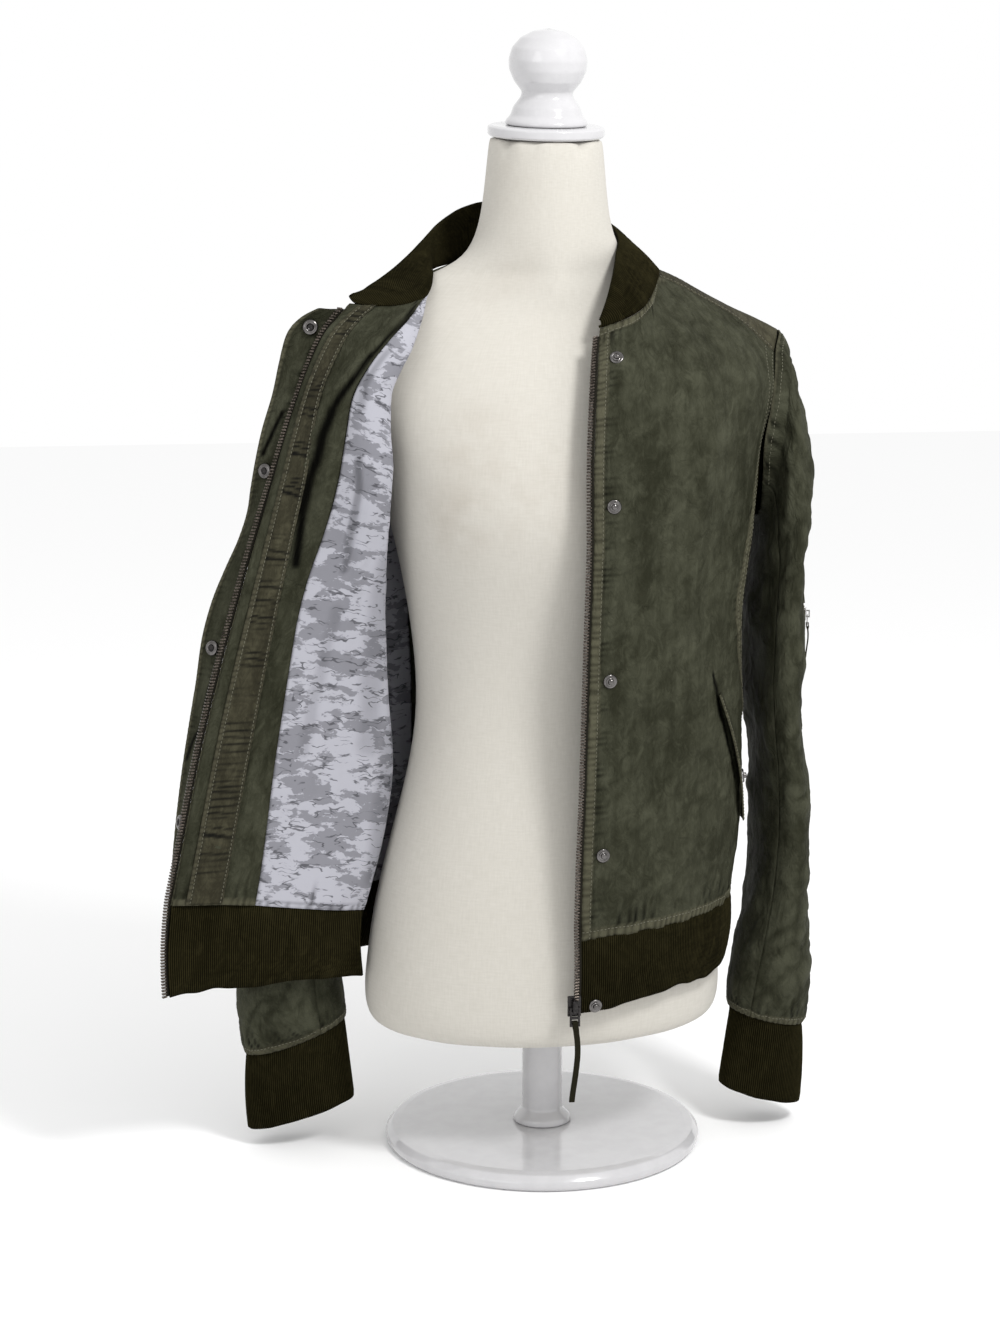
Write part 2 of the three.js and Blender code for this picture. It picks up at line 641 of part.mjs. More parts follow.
function hemCloth() {
  const edge = [];
  const round = [
    [leftFront, 12],
    [leftSide, 3],
    [back, 16],
    [rightSide, 3],
    [rightFront, 14],
  ];
  for (const [cloth, samples] of round)
    for (let i = 0; i < samples; i += 1) edge.push(cloth.base(i / samples, 0));
  edge.push(rightFront.base(1, 0));
  const rows = [1, 0.5, 0].map((down) =>
    edge.map((point, i) => {
      const along = i / (edge.length - 1);
      const inward = new THREE.Vector3(-point.x, -point.y, 0).normalize();
      const tuck = table(HEM_TUCK, along) * down - HEM_BELLY * Math.sin(Math.PI * down);
      const p = point.clone().addScaledVector(inward, tuck);
      p.z -= SEAM_GAP + table(HEM_DROP, along) * down;
      return p.toArray();
    }),
  );
  return new Cloth(rows, { across: evenly(HEM_STEPS), up: evenly(2) });
}
const hem = hemCloth();

// The collar's top edge, from the left zip round the back to the right zip.
const COLLAR_TOP = [
  [27, -80, 697],
  [34, -73, 714],
  [43, -57, 733],
  [51, -34, 749],
  [59, -6, 761],
  [57, 22, 773],
  [42, 54, 786],
  [0, 70, 791],
  [-46, 62, 789],
  [-66, 48, 781],
  [-84, 30, 771],
  [-100, 12, 757],
  [-118, -4, 742],
  [-140, -24, 728],
  [-163, -45, 717],
];
const COLLAR_BELLY = 3;
const COLLAR_LIFT = 2.8;
const COLLAR_STEPS = 32;

// The neckline, as shares from the left zip: the fronts, the shoulder bands' ends and the back.
function neckline() {
  const front = (cloth, from, to) => evenly(5).map((s) => cloth.base(lerp(from, to, s), 1));
  const ends = [shoulderBands.left.base(0, 0.5), shoulderBands.right.base(1, 0.5)];
  const behind = evenly(6).map((s) => back.base(lerp(0.25, 0.75, s), 1));
  return [...front(leftFront, 0, 0.5), ends[0], ...behind, ends[1], ...front(rightFront, 0.5, 1)];
}

function collarCloth() {
  const base = new THREE.CatmullRomCurve3(neckline(), false, "centripetal");
  const top = new THREE.CatmullRomCurve3(COLLAR_TOP.map(vec), false, "centripetal");
  const columns = 18;
  const rows = evenly(2).map((up) =>
    evenly(columns).map((share) => {
      const p = base.getPoint(share).lerp(top.getPoint(share), up);
      const outward = p.clone().setZ(0).normalize();
      p.addScaledVector(outward, COLLAR_BELLY * Math.sin(Math.PI * up));
      p.z += (1 - up) * COLLAR_LIFT;
      return p.toArray();
    }),
  );
  return new Cloth(rows, { across: evenly(COLLAR_STEPS), up: evenly(3) });
}
const collar = collarCloth();

function addTrimmings() {
  wall("shoulder_band_left", shoulderBands.left, "trim", { gap: BAND_GAP });
  wall("shoulder_band_right", shoulderBands.right, "trim", { gap: BAND_GAP });
  wall("hem_rib", hem, "rib", { under: -0.4, over: RIB - 0.4 });
  wall("collar_rib", collar, "rib", { under: -RIB / 2, over: RIB / 2 });
}

// Sleeves, from the shoulder down. Each section is an oval between an outer and an inner point.
const SLEEVE_ROWS = {
  // outer and inner are [x, z], y is the section's middle, front and back are its depths
  left: [
    { outer: [198, 679], inner: [184, 527], y: 1, front: 50, back: 52 },
    { outer: [202, 664], inner: [184, 508], y: 0, front: 58, back: 60 },
    { outer: [209, 634], inner: [183, 490], y: 0, front: 62, back: 65 },
    { outer: [219, 592], inner: [182, 470], y: 0, front: 64, back: 67 },
    { outer: [212, 545], inner: [182, 446], y: 0, front: 64, back: 67 },
    { outer: [213, 495], inner: [181, 418], y: 1, front: 63, back: 67 },
    { outer: [217, 440], inner: [180, 384], y: 2, front: 61, back: 66 },
    { outer: [217, 384], inner: [184, 345], y: 3, front: 59, back: 62 },
    { outer: [221, 330], inner: [189, 306], y: 4, front: 57, back: 58 },
    { outer: [226, 270], inner: [189, 258], y: 4, front: 55, back: 55 },
    { outer: [230, 205], inner: [183, 206], y: 3, front: 51, back: 50 },
    { outer: [233, 150], inner: [172, 152], y: 2, front: 45, back: 43 },
    { outer: [233, 109], inner: [166, 119], y: 1, front: 37, back: 36 },
    { outer: [229, 90], inner: [167, 105], y: 0, front: 29, back: 29 },
  ],
  right: [
    { outer: [-195, 676], inner: [-184, 529], y: 12, front: 36, back: 46 },
    { outer: [-199, 660], inner: [-184, 510], y: 17, front: 37, back: 55 },
    { outer: [-206, 632], inner: [-184, 492], y: 22, front: 38, back: 58 },
    { outer: [-215, 592], inner: [-184, 471], y: 27, front: 40, back: 60 },
    { outer: [-221, 545], inner: [-184, 446], y: 31, front: 43, back: 60 },
    { outer: [-226, 495], inner: [-184, 418], y: 34, front: 46, back: 60 },
    { outer: [-229, 440], inner: [-183, 384], y: 37, front: 48, back: 60 },
    { outer: [-232, 384], inner: [-182, 345], y: 38, front: 50, back: 60 },
    { outer: [-236, 330], inner: [-181, 306], y: 39, front: 51, back: 58 },
    { outer: [-243, 270], inner: [-179, 258], y: 38, front: 51, back: 56 },
    { outer: [-249, 205], inner: [-177, 208], y: 36, front: 49, back: 52 },
    { outer: [-254, 150], inner: [-173, 156], y: 33, front: 45, back: 44 },
    { outer: [-254, 101], inner: [-168, 124], y: 30, front: 37, back: 36 },
    { outer: [-250, 81], inner: [-167, 109], y: 28, front: 27, back: 27 },
  ],
};
const CUFF_ROWS = {
  left: [
    { outer: [229.2, 89.3], inner: [166.8, 104.3], y: 0, front: 29.3, back: 29.3 },
    { outer: [231, 57], inner: [162, 73], y: 0, front: 27, back: 27 },
    { outer: [230, 16], inner: [158, 35], y: 1, front: 25, back: 25 },
  ],
  right: [
    { outer: [-250.2, 80.3], inner: [-166.8, 108.3], y: 28, front: 27.3, back: 27.3 },
    { outer: [-252, 48], inner: [-163, 74], y: 27, front: 25, back: 25 },
    { outer: [-250, 14], inner: [-159, 37], y: 28, front: 23, back: 23 },
  ],
};
// Round each armhole from the shoulder point over the front, the underarm and the back.
const ARMHOLES = {
  left: [
    [195, -4, 685],
    [184, -32, 668],
    [178, -50, 637],
    [170, -50, 592],
    [178, -26, 549],
    [181, 4, 531],
    [178, 32, 549],
    [169, 53, 592],
    [179, 47, 640],
    [191, 20, 676],
  ],
  right: [
    [-193, -2, 684],
    [-186, -29, 668],
    [-181, -39, 637],
    [-173, -35, 592],
    [-180, -12, 549],
    [-183, 13, 533],
    [-180, 34, 551],
    [-169, 53, 592],
    [-179, 47, 640],
    [-191, 20, 676],
  ],
};
const SLEEVE_CLEAR = { left: 1.5, right: 1.1 };

// A point of a sleeve section.
// The turn runs from the outer point (0) over the front (0.25) to the inner point (0.5).
function sleevePoint({ outer, inner, y, front, back: behind }, turn) {
  const angle = turn * 2 * Math.PI;
  const [c, s] = [Math.cos(angle), Math.sin(angle)];
  const share = (1 - c) / 2;
  const reach = s > 0 ? front : behind;
  return [lerp(outer[0], inner[0], share), y - s * reach, lerp(outer[1], inner[1], share)];
}

// The armhole as a sleeve section, moved out a little from the body along the arm.
function armholePoint(side, turn) {
  const loop = new THREE.CatmullRomCurve3(ARMHOLES[side].map(vec), true, "centripetal");
  const p = loop.getPoint(THREE.MathUtils.euclideanModulo(turn, 1));
  p.x += (side === "left" ? 1 : -1) * SLEEVE_CLEAR[side];
  return p.toArray();
}

function sleeveNet(side, from, to, columns) {
  const turns = Array.from({ length: columns }, (_, i) => lerp(from, to, i / (columns - 1)));
  const rows = SLEEVE_ROWS[side].map((row) => turns.map((turn) => sleevePoint(row, turn)));
  rows.unshift(turns.map((turn) => armholePoint(side, turn)));
  return rows.reverse();
}

// Slanting drag lines down the sleeve and gathers over the cuff.
const SLEEVE_FOLDS = [
  // up is a share of the sleeve's length and at a share of its way round
  { up: 0.2, at: 0.35, slant: 0.6, width: 0.035, depth: -3.5 },
  { up: 0.32, at: 0.6, slant: -0.5, width: 0.035, depth: 3 },
  { up: 0.42, at: 0.4, slant: 0.7, width: 0.04, depth: -4 },
  { up: 0.55, at: 0.6, slant: -0.6, width: 0.035, depth: -3 },
  { up: 0.66, at: 0.4, slant: 0.5, width: 0.04, depth: 3.5 },
];

function sleeveRipple(gathers) {
  return (u, v) => {
    let out = 0;
    for (const { up, at, slant, width, depth } of SLEEVE_FOLDS) {
      const off = v - up - slant * (u - at) * 0.25;
      out += depth * Math.exp(-((off / width) ** 2)) * Math.exp(-(((u - at) / 0.28) ** 2));
    }
    const nearCuff = 1 - smooth(v, 0, 0.12);
    const edges = smooth(u, 0, 0.08) * (1 - smooth(u, 0.92, 1));
    return edges * (out * smooth(v, 0.05, 0.15) + 1.2 * nearCuff * Math.sin(2 * Math.PI * gathers * u));
  };
}

// The share of the turn where the upper sleeve ends in front and behind.
const SLEEVE_SEAMS = { left: [-0.32, 0.36], right: [-0.36, 0.32] };
const SLEEVE_STEPS = { upper: 10, under: 6, up: 18 };
const sleeves = {};

function addSleeves() {
  for (const side of ["left", "right"]) {
    const [first, second] = SLEEVE_SEAMS[side];
    const turnOver = side === "left" ? (pair) => pair.reverse() : (pair) => pair;
    const [from, to] = turnOver([first, second]);
    const up = evenly(SLEEVE_STEPS.up);
    const upper = new Cloth(sleeveNet(side, from, to, 9), {
      across: evenly(SLEEVE_STEPS.upper),
      up,
      ripple: sleeveRipple(5),
    });
    const [underFrom, underTo] = turnOver([second, 1 + first]);
    const under = new Cloth(sleeveNet(side, underFrom, underTo, 6), {
      across: evenly(SLEEVE_STEPS.under),
      up,
      ripple: sleeveRipple(3),
    });
    wall(`sleeve_upper_${side}`, upper, "shell");
    wall(`sleeve_under_${side}`, under, "shell");
    sleeves[side] = upper;
    addCuff(side);
  }
}

function tube(name, sections, thickness, material) {
  const around = sections[0].length;
  const outer = sections;
  const inner = sections.map((loop) => {
    const middle = loop.reduce((sum, p) => sum.add(p), new THREE.Vector3()).divideScalar(around);
    return loop.map((p) => p.clone().add(middle.clone().sub(p).setLength(thickness)));
  });
  const points = [...outer.flat(), ...inner.flat()];
  const shift = outer.length * around;
  const faces = [];
  const last = (outer.length - 1) * around;
  for (let j = 0; j < around; j += 1) {
    const next = (j + 1) % around;
    for (let i = 0; i + 1 < outer.length; i += 1) {
      const quad = [i * around + j, i * around + next, (i + 1) * around + next, (i + 1) * around + j];
      faces.push(quad);
      faces.push(quad.map((k) => k + shift).reverse());
    }
    faces.push([next, j, j + shift, next + shift]);
    faces.push([last + j, last + next, last + next + shift, last + j + shift]);
  }
  addMesh(name, closedGeometry(points, faces), material);
}

const CUFF_SIDES = 20;
function addCuff(side) {
  const net = CUFF_ROWS[side];
  const sections = [0, 0.33, 0.66, 1].map((down) =>
    Array.from({ length: CUFF_SIDES }, (_, k) => {
      const column = new THREE.CatmullRomCurve3(net.map((row) => vec(sleevePoint(row, k / CUFF_SIDES))));
      return column.getPoint(down);
    }),
  );
  tube(`cuff_${side}`, sections, RIB, "rib");
}

// A closed section swept along frames of a place, a direction across and a direction out.
function sweep(frames, profile) {
  return loft(
    frames.map(({ place, across, out }) =>
      profile.map(([a, b]) => place.clone().addScaledVector(across, a).addScaledVector(out, b)),
    ),
  );
}

// A frame at the zip edge of a piece. across points away from the cloth.
function zipFrame(cloth, edge, v) {
  const inside = edge === 0 ? 0.03 : 0.97;
  const place = cloth.point(edge, v);
  return {
    place,
    across: place.clone().sub(cloth.point(inside, v)).normalize(),
    out: cloth.normal(edge, v),
  };
}

const zipFrames = (cloth, edge, steps, from, to) =>
  Array.from({ length: steps + 1 }, (_, i) => zipFrame(cloth, edge, lerp(from, to, i / steps)));

// A zip's section: its tape starts just off the cloth's edge, and its teeth stand on the tape's own edge.
const TAPE_START = 0.35;
const TEETH_START = 2;
const TAPE_RISE = 0.15;
const ZIP_STEPS = { hem: 5, front: 18 };
function zipProfile() {
  const tapeHigh = TAPE_RISE + TAPE_THICKNESS;
  const middle = (TAPE_RISE + tapeHigh) / 2;
  const half = TOOTH_THICKNESS / 2;
  const reach = TEETH_START + TOOTH_REACH;
  return [
    [TAPE_START, TAPE_RISE],
    [TEETH_START, TAPE_RISE],
    [TEETH_START, middle - half],
    [reach, middle - half],
    [reach, middle + half],
    [TEETH_START, middle + half],
    [TEETH_START, tapeHigh],
    [TAPE_START, tapeHigh],
  ];
}

// Each zip runs on down the ribbed band, from the neckline to the hem's lower edge.
function addZips() {
  for (const [side, cloth, edge] of [["left", leftFront, 0], ["right", rightFront, 1]]) {
    const band = zipFrames(hem, edge, ZIP_STEPS.hem, 0.04, 0.93);
    const upper = zipFrames(cloth, edge, ZIP_STEPS.front, 0.012, 0.985);
    addMesh(`zip_${side}`, sweep([...band, ...upper], zipProfile()), "zip");
  }
}

// The flap beyond the right zip, which carries the snap sockets.
const FLAP_ROWS = [
  // v is a share up the ribbed hem or the front, and x and y are the way from the zip to the free edge
  { piece: "hem", v: 0.06, x: 5, y: 20 },
  { piece: "hem", v: 0.92, x: 2, y: 21 },
  { piece: "front", v: 0.06, x: -1, y: 21 },
  { piece: "front", v: 0.15, x: -5, y: 21 },
  { piece: "front", v: 0.25, x: -9, y: 20 },
  { piece: "front", v: 0.35, x: -13, y: 18 },
  { piece: "front", v: 0.44, x: -19, y: 15 },
  { piece: "front", v: 0.51, x: -15, y: 17 },
  { piece: "front", v: 0.58, x: -10, y: 20 },
  { piece: "front", v: 0.65, x: -15, y: 17 },
  { piece: "front", v: 0.72, x: -20, y: 12 },
  { piece: "front", v: 0.8, x: -22, y: 11 },
  { piece: "front", v: 0.88, x: -29, y: 7 },
  { piece: "front", v: 0.94, x: -29, y: 4 },
  { piece: "front", v: 0.98, x: -20, y: 2 },
];
const FLAP_BEHIND_ZIP = 3.4;
const FLAP_STEPS = 22;
const FLAP_BULGE = 2;
const flapNet = FLAP_ROWS.map(({ piece, v, x, y }) => {
  const frame = zipFrame(piece === "hem" ? hem : rightFront, 1, v);
  const start = frame.place.clone().add(frame.across);
  start.addScaledVector(frame.out, FLAP_BEHIND_ZIP);
  const reach = new THREE.Vector3(x, y, 0);
  const bulge = new THREE.Vector3(y, -x, 0).normalize();
  return evenly(3).map((share) => {
    const p = start.clone().addScaledVector(reach, share);
    return p.addScaledVector(bulge, FLAP_BULGE * Math.sin(Math.PI * share)).toArray();
  });
});
const flap = new Cloth(flapNet, { across: evenly(3), up: evenly(FLAP_STEPS) });

// Snap fasteners, turned shapes whose axis is the cloth's normal.
const SNAP_SIDES = 8;
const STUD_PROFILE = [
  // [radius, height]
  [0, 0],
  [SNAP_RADIUS, 0],
  [SNAP_RADIUS, 0.9],
  [SNAP_RADIUS - 1.6, 1.3],
  [2.6, 1.3],
  [2.4, 3],
  [0, 3.6],
];
const SOCKET_PROFILE = [
  // [radius, height]
  [SOCKET_HOLE, 0],
  [SOCKET_RADIUS, 0],
  [SOCKET_RADIUS, 1.2],
  [SOCKET_RADIUS - 1.4, 2.2],
  [SOCKET_HOLE, 2.2],
  [SOCKET_HOLE, 0],
];

function addSnap(name, profile, place, direction) {
  const points = profile.map(([radius, height]) => new THREE.Vector2(radius, height));
  const holder = new THREE.Group();
  holder.position.copy(place);
  holder.quaternion.setFromUnitVectors(new THREE.Vector3(0, 1, 0), direction);
  jacketOnForm.add(holder);
  addMesh(name, new THREE.LatheGeometry(points, SNAP_SIDES), "metal", holder);
}

// The snaps of the left front, from the neck down. The last sits on the ribbed hem.
const STUDS = [
  // v is a share up the front, and u a share across it from the zip
  { v: 0.935, u: 0.085 },
  { v: 0.69, u: 0.078 },
  { v: 0.425, u: 0.078 },
  { v: 0.139, u: 0.06 },
];
const HEM_STUD = { v: 0.1, u: 0.013 };
const STUD_LIFT = 0.6;
const SOCKET_ROWS = [0.9, 0.664, 0.4, 0.22, 0.035];
const SOCKET_ACROSS = 0.5;
const SOCKET_LIFT = 1.5;

function addSnaps() {
  const above = SHELL + STUD_LIFT;
  STUDS.forEach(({ u, v }, i) => {
    addSnap(`snap_stud_${i + 1}`, STUD_PROFILE, leftFront.point(u, v, above), leftFront.normal(u, v));
  });
  const hemStud = [HEM_STUD.u, HEM_STUD.v];
  addSnap("snap_stud_5", STUD_PROFILE, hem.point(...hemStud, RIB), hem.normal(...hemStud));
  SOCKET_ROWS.forEach((v, i) => {
    const at = [SOCKET_ACROSS, v];
    const inward = flap.normal(...at).negate();
    addSnap(`snap_socket_${i + 1}`, SOCKET_PROFILE, flap.point(...at, -SOCKET_LIFT), inward);
  });
}

// Slanting pocket welts, each with a snap near its lower end. A welt gapes at its front edge.
const WELT = [
  // z is a height, and front and back are shares across the left front, from its zip
  { z: 399, front: 0.56, back: 0.62 },
  { z: 362, front: 0.61, back: 0.69 },
  { z: 322, front: 0.665, back: 0.75 },
  { z: 284, front: 0.72, back: 0.795 },
];
const WELT_WALL = 1.2;
const WELT_LIFT = { front: 5.9, middle: 3.8, back: 1.1 };
const WELT_SNAP = { left: [0.52, 0.34], right: [0.48, 0.34] };
const WELT_SNAP_LIFT = 1.5;

function addPockets() {
  const rowsOf = { left: LEFT_ROWS, right: RIGHT_ROWS };
  for (const side of ["left", "right"]) {
    const cloth = side === "left" ? leftFront : rightFront;
    const acrossOf = (share) => (side === "left" ? share : 1 - share);
    const rows = [...WELT].reverse().map(({ z, front, back: behind }) => {
      const v = rowAtHeight(z, rowsOf[side]);
      const lifts = Object.values(WELT_LIFT);
      const shares = [front, (front + behind) / 2, behind];
      const place = (share, i) => cloth.point(acrossOf(share), v, SHELL + lifts[i]).toArray();
      const row = shares.map(place);
      return side === "left" ? row : row.reverse();
    });
    const welt = new Cloth(rows, { across: evenly(3), up: evenly(7) });
    wall(`pocket_welt_${side}`, welt, "shell", { over: WELT_WALL });
    const at = WELT_SNAP[side];
    addSnap(`pocket_snap_${side}`, STUD_PROFILE, welt.point(...at, WELT_SNAP_LIFT), welt.normal(...at));
  }
}

// A zip's slider: a plate in front of the teeth, a bridge on it, and a tab with a strap.
// The tab swings on the bridge.
// Its frame has x across the zip, y into the garment and z up. y = 0 is the back of the plate.
const PLATE = { width: 11, depth: 1.8, height: 17 };
const BRIDGE = { width: 4, reach: 4.7, top: 5.5, bottom: -4.5, near: 0.3, far: 3.1, low: -3, high: 4 };
const PIVOT = { y: -3.4, z: -1.5 };
const TAB = {
  half: 4.3,
  top: 0.9,
  bottom: -15,
  thickness: 1.2,
  windowHalf: 2.6,
  windows: [
    [-6.5, -0.9],
    [-12, -9],
  ],
};
const STRAP = {
  width: 4.6,
  loop: 1.9,
  half: 0.9,
  hole: [-15.4, -11.4],
  top: -10.2,
  neck: -17,
  shoulder: -19.5,
};

// A flat outline with holes, pushed to a thickness.
// Its corners are [first, second] pairs in the frame's own plane.
function plateOf(corners, holes, thickness) {
  const trace = (points, path) => {
    points.forEach(([a, b], i) => (i ? path.lineTo(a, b) : path.moveTo(a, b)));
    return path;
  };
  const shape = trace(corners, new THREE.Shape());
  shape.holes = holes.map((points) => trace(points, new THREE.Path()));
  const plate = new THREE.ExtrudeGeometry(shape, { depth: thickness, bevelEnabled: false });
  return plate.translate(0, 0, -thickness / 2);
}
const rectangle = (left, right, low, high) => [
  [left, low],
  [right, low],
  [right, high],
  [left, high],
];
// Turns an outline drawn in x and z, or in y and z, upright.
const facingOut = (geometry) => geometry.rotateX(Math.PI / 2);
const facingAcross = (geometry) => geometry.rotateX(Math.PI / 2).rotateZ(Math.PI / 2);

function addSlider(prefix, place, turn, size, strapLength) {
  const frame = new THREE.Group();
  frame.position.copy(place);
  frame.rotation.z = radians(turn);
  frame.scale.setScalar(size);
  jacketOnForm.add(frame);
  const plate = new THREE.BoxGeometry(PLATE.width, PLATE.depth, PLATE.height);
  addMesh(`${prefix}_slider`, plate.translate(0, -PLATE.depth / 2, 0), "zip", frame);

  const front = -PLATE.depth - 0.3 / size;
  const { near, far, low, high } = BRIDGE;
  const bridge = plateOf(
    rectangle(front - BRIDGE.reach, front, BRIDGE.bottom, BRIDGE.top),
    [rectangle(front - far, front - near, low, high)],
    BRIDGE.width,
  );
  addMesh(`${prefix}_bridge`, facingAcross(bridge), "zip", frame);

  const swing = new THREE.Group();
  swing.position.set(0, PIVOT.y - 0.3, PIVOT.z);
  frame.add(swing);
  const tab = plateOf(
    rectangle(-TAB.half, TAB.half, TAB.bottom, TAB.top),
    TAB.windows.map(([from, to]) => rectangle(-TAB.windowHalf, TAB.windowHalf, from, to)),
    TAB.thickness,
  );
  addMesh(`${prefix}_pull`, facingOut(tab), "zip", swing);
  const { loop, half, top, neck, shoulder, hole } = STRAP;
  const end = top - strapLength;
  const strap = plateOf(
    [
      [-loop, top],
      [loop, top],
      [loop, neck],
      [half, shoulder],
      [half, end],
      [-half, end],
      [-half, shoulder],
      [-loop, neck],
    ],
    [rectangle(-half, half, ...hole)],
    STRAP.width,
  );
  addMesh(`${prefix}_strap`, facingAcross(strap), "trim", swing);
}

const MAIN_SLIDER = { v: 0.16, out: 3 };
function addMainSlider() {
  const frame = zipFrame(hem, 0, MAIN_SLIDER.v);
  const place = frame.place.clone().addScaledVector(frame.across, TEETH_START + TOOTH_REACH);
  place.addScaledVector(frame.out, MAIN_SLIDER.out);
  addSlider("main", place, 0, 1, STRAP_LENGTH);
}

// The pocket on the upper left sleeve: a patch, a cover over the top of its zip, the zip and its slider.
const SLEEVE_POCKET = { columns: [4, 8], rows: [7, 10], lift: 0.35, thickness: 1 };
const ZIP_COVER = { u: [0.43, 0.56], v: [0.528, 0.562], lift: 0.8 };
const SLEEVE_ZIP = { u: [0.45, 0.49], v: [0.43, 0.522], lift: 1 };
const SLEEVE_SLIDER = { u: 0.47, v: 0.512, turn: 68, size: 0.62, lift: 3.3, strap: 48 };

// A small piece laid over another, from that piece's own points moved out.
function laidOn(cloth, [u0, u1], [v0, v1], out, columns, rows) {
  const place = (s, t) => cloth.point(lerp(u0, u1, s), lerp(v0, v1, t), out).toArray();
  const net = evenly(rows).map((t) => evenly(columns).map((s) => place(s, t)));
  return new Cloth(net, { across: evenly(columns), up: evenly(rows) });
}

function addSleevePocket() {
  const sleeve = sleeves.left;
  const { columns, rows, lift, thickness } = SLEEVE_POCKET;
  const patchOver = SHELL + lift + thickness;
  wall("sleeve_pocket", sleeve, "shell", { columns, rows, under: SHELL + lift, over: patchOver });
  const cover = laidOn(sleeve, ZIP_COVER.u, ZIP_COVER.v, patchOver + ZIP_COVER.lift, 3, 3);
  wall("sleeve_zip_cover", cover, "shell");
  const zip = laidOn(sleeve, SLEEVE_ZIP.u, SLEEVE_ZIP.v, patchOver + SLEEVE_ZIP.lift, 2, 8);
  wall("sleeve_zip", zip, "zip", { over: 1 });
  const { u, v, turn, size, lift: out, strap } = SLEEVE_SLIDER;
  addSlider("sleeve", sleeve.point(u, v, patchOver + out), turn, size, strap);
}

addDressForm();
addBody();
addTrimmings();
addSleeves();
addZips();
wall("storm_flap", flap, "shell", { gap: 0.2 });
addSnaps();
addPockets();
addMainSlider();
addSleevePocket();

export default jacketOnForm;
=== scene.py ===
# %% [markdown]
# A women's bomber jacket, worn open on a limbless dress form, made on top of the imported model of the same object.
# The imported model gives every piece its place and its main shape, so this lesson starts by loading it.

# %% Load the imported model
import json
import math

import bmesh
import bpy
import numpy as np
from mathutils import Matrix, Vector

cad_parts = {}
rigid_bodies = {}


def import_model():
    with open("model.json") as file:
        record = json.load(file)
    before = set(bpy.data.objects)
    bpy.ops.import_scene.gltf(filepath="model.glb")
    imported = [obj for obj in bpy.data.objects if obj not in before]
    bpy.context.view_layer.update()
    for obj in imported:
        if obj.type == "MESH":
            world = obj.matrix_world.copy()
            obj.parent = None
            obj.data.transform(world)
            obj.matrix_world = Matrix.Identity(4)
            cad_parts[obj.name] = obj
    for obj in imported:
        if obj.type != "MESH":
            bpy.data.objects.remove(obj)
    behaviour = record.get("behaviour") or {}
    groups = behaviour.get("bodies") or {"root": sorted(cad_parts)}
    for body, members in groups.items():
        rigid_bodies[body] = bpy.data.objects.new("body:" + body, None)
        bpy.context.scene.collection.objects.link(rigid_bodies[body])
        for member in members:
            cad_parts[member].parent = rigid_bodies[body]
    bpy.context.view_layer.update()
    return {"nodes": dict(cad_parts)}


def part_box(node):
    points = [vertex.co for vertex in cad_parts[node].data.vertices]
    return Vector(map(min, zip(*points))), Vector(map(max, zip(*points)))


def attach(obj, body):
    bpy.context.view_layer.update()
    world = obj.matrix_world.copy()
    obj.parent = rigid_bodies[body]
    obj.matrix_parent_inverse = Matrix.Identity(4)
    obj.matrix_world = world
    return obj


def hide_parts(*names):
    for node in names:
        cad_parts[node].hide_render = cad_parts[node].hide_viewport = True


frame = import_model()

MM = 0.001
ROOT = "jacket_and_form"

# %% [markdown]
# The camera comes first. The photo looks slightly down on the jacket, from the wearer's right, so the camera stands
# two metres away and is turned by eleven degrees. The lens is set by the angle that the photo's height spans.

# %% Camera
PHOTO_WIDTH, PHOTO_HEIGHT = 1000, 1333
FOCAL_PIXELS = 2500
CAMERA_PLACE = (-0.4266, -2.0055, 0.7702)
CAMERA_TILT = math.radians(80)
CAMERA_TURN = math.radians(-11)

camera_data = bpy.data.cameras.new("photo_camera")
camera_data.sensor_fit = "VERTICAL"
camera_data.angle = 2 * math.atan(PHOTO_HEIGHT / 2 / FOCAL_PIXELS)
camera = bpy.data.objects.new("photo_camera", camera_data)
camera.location = CAMERA_PLACE
camera.rotation_euler = (CAMERA_TILT, 0, CAMERA_TURN)
bpy.context.scene.collection.objects.link(camera)
bpy.context.scene.camera = camera
print("lens angle", round(math.degrees(camera_data.angle), 2))

# %% [markdown]
# The studio is plain: a pale floor, a bright world and soft area lights. One large light hangs near the camera,
# as in a product photo, and a second one on the right models the folds.

# %% Floor, world and lights
FLOOR_SIZE = 14.0

floor_mesh = bmesh.new()
bmesh.ops.create_grid(floor_mesh, x_segments=1, y_segments=1, size=FLOOR_SIZE / 2)
floor_data = bpy.data.meshes.new("floor")
floor_mesh.to_mesh(floor_data)
floor_mesh.free()
floor = bpy.data.objects.new("floor", floor_data)
bpy.context.scene.collection.objects.link(floor)
floor_paint = bpy.data.materials.new("floor")
floor_paint.use_nodes = True
floor_shader = floor_paint.node_tree.nodes["Principled BSDF"]
floor_shader.inputs["Base Color"].default_value = (0.95, 0.95, 0.95, 1)
floor_shader.inputs["Roughness"].default_value = 1.0
floor_shader.inputs["Specular IOR Level"].default_value = 0.0
floor_data.materials.append(floor_paint)

world = bpy.data.worlds.new("studio")
world.use_nodes = True
world.node_tree.nodes["Background"].inputs["Color"].default_value = (1.0, 1.0, 1.0, 1)
world.node_tree.nodes["Background"].inputs["Strength"].default_value = 1.0
bpy.context.scene.world = world
bpy.context.scene.view_settings.view_transform = "Standard"


def soft_light(name, place, target, size, watts, colour=(1, 1, 1)):
    light = bpy.data.lights.new(name, "AREA")
    light.shape = "DISK"
    light.size = size
    light.energy = watts
    light.color = colour
    lamp = bpy.data.objects.new(name, light)
    lamp.location = place
    lamp.rotation_euler = (Vector(target) - Vector(place)).to_track_quat("-Z", "Y").to_euler()
    bpy.context.scene.collection.objects.link(lamp)


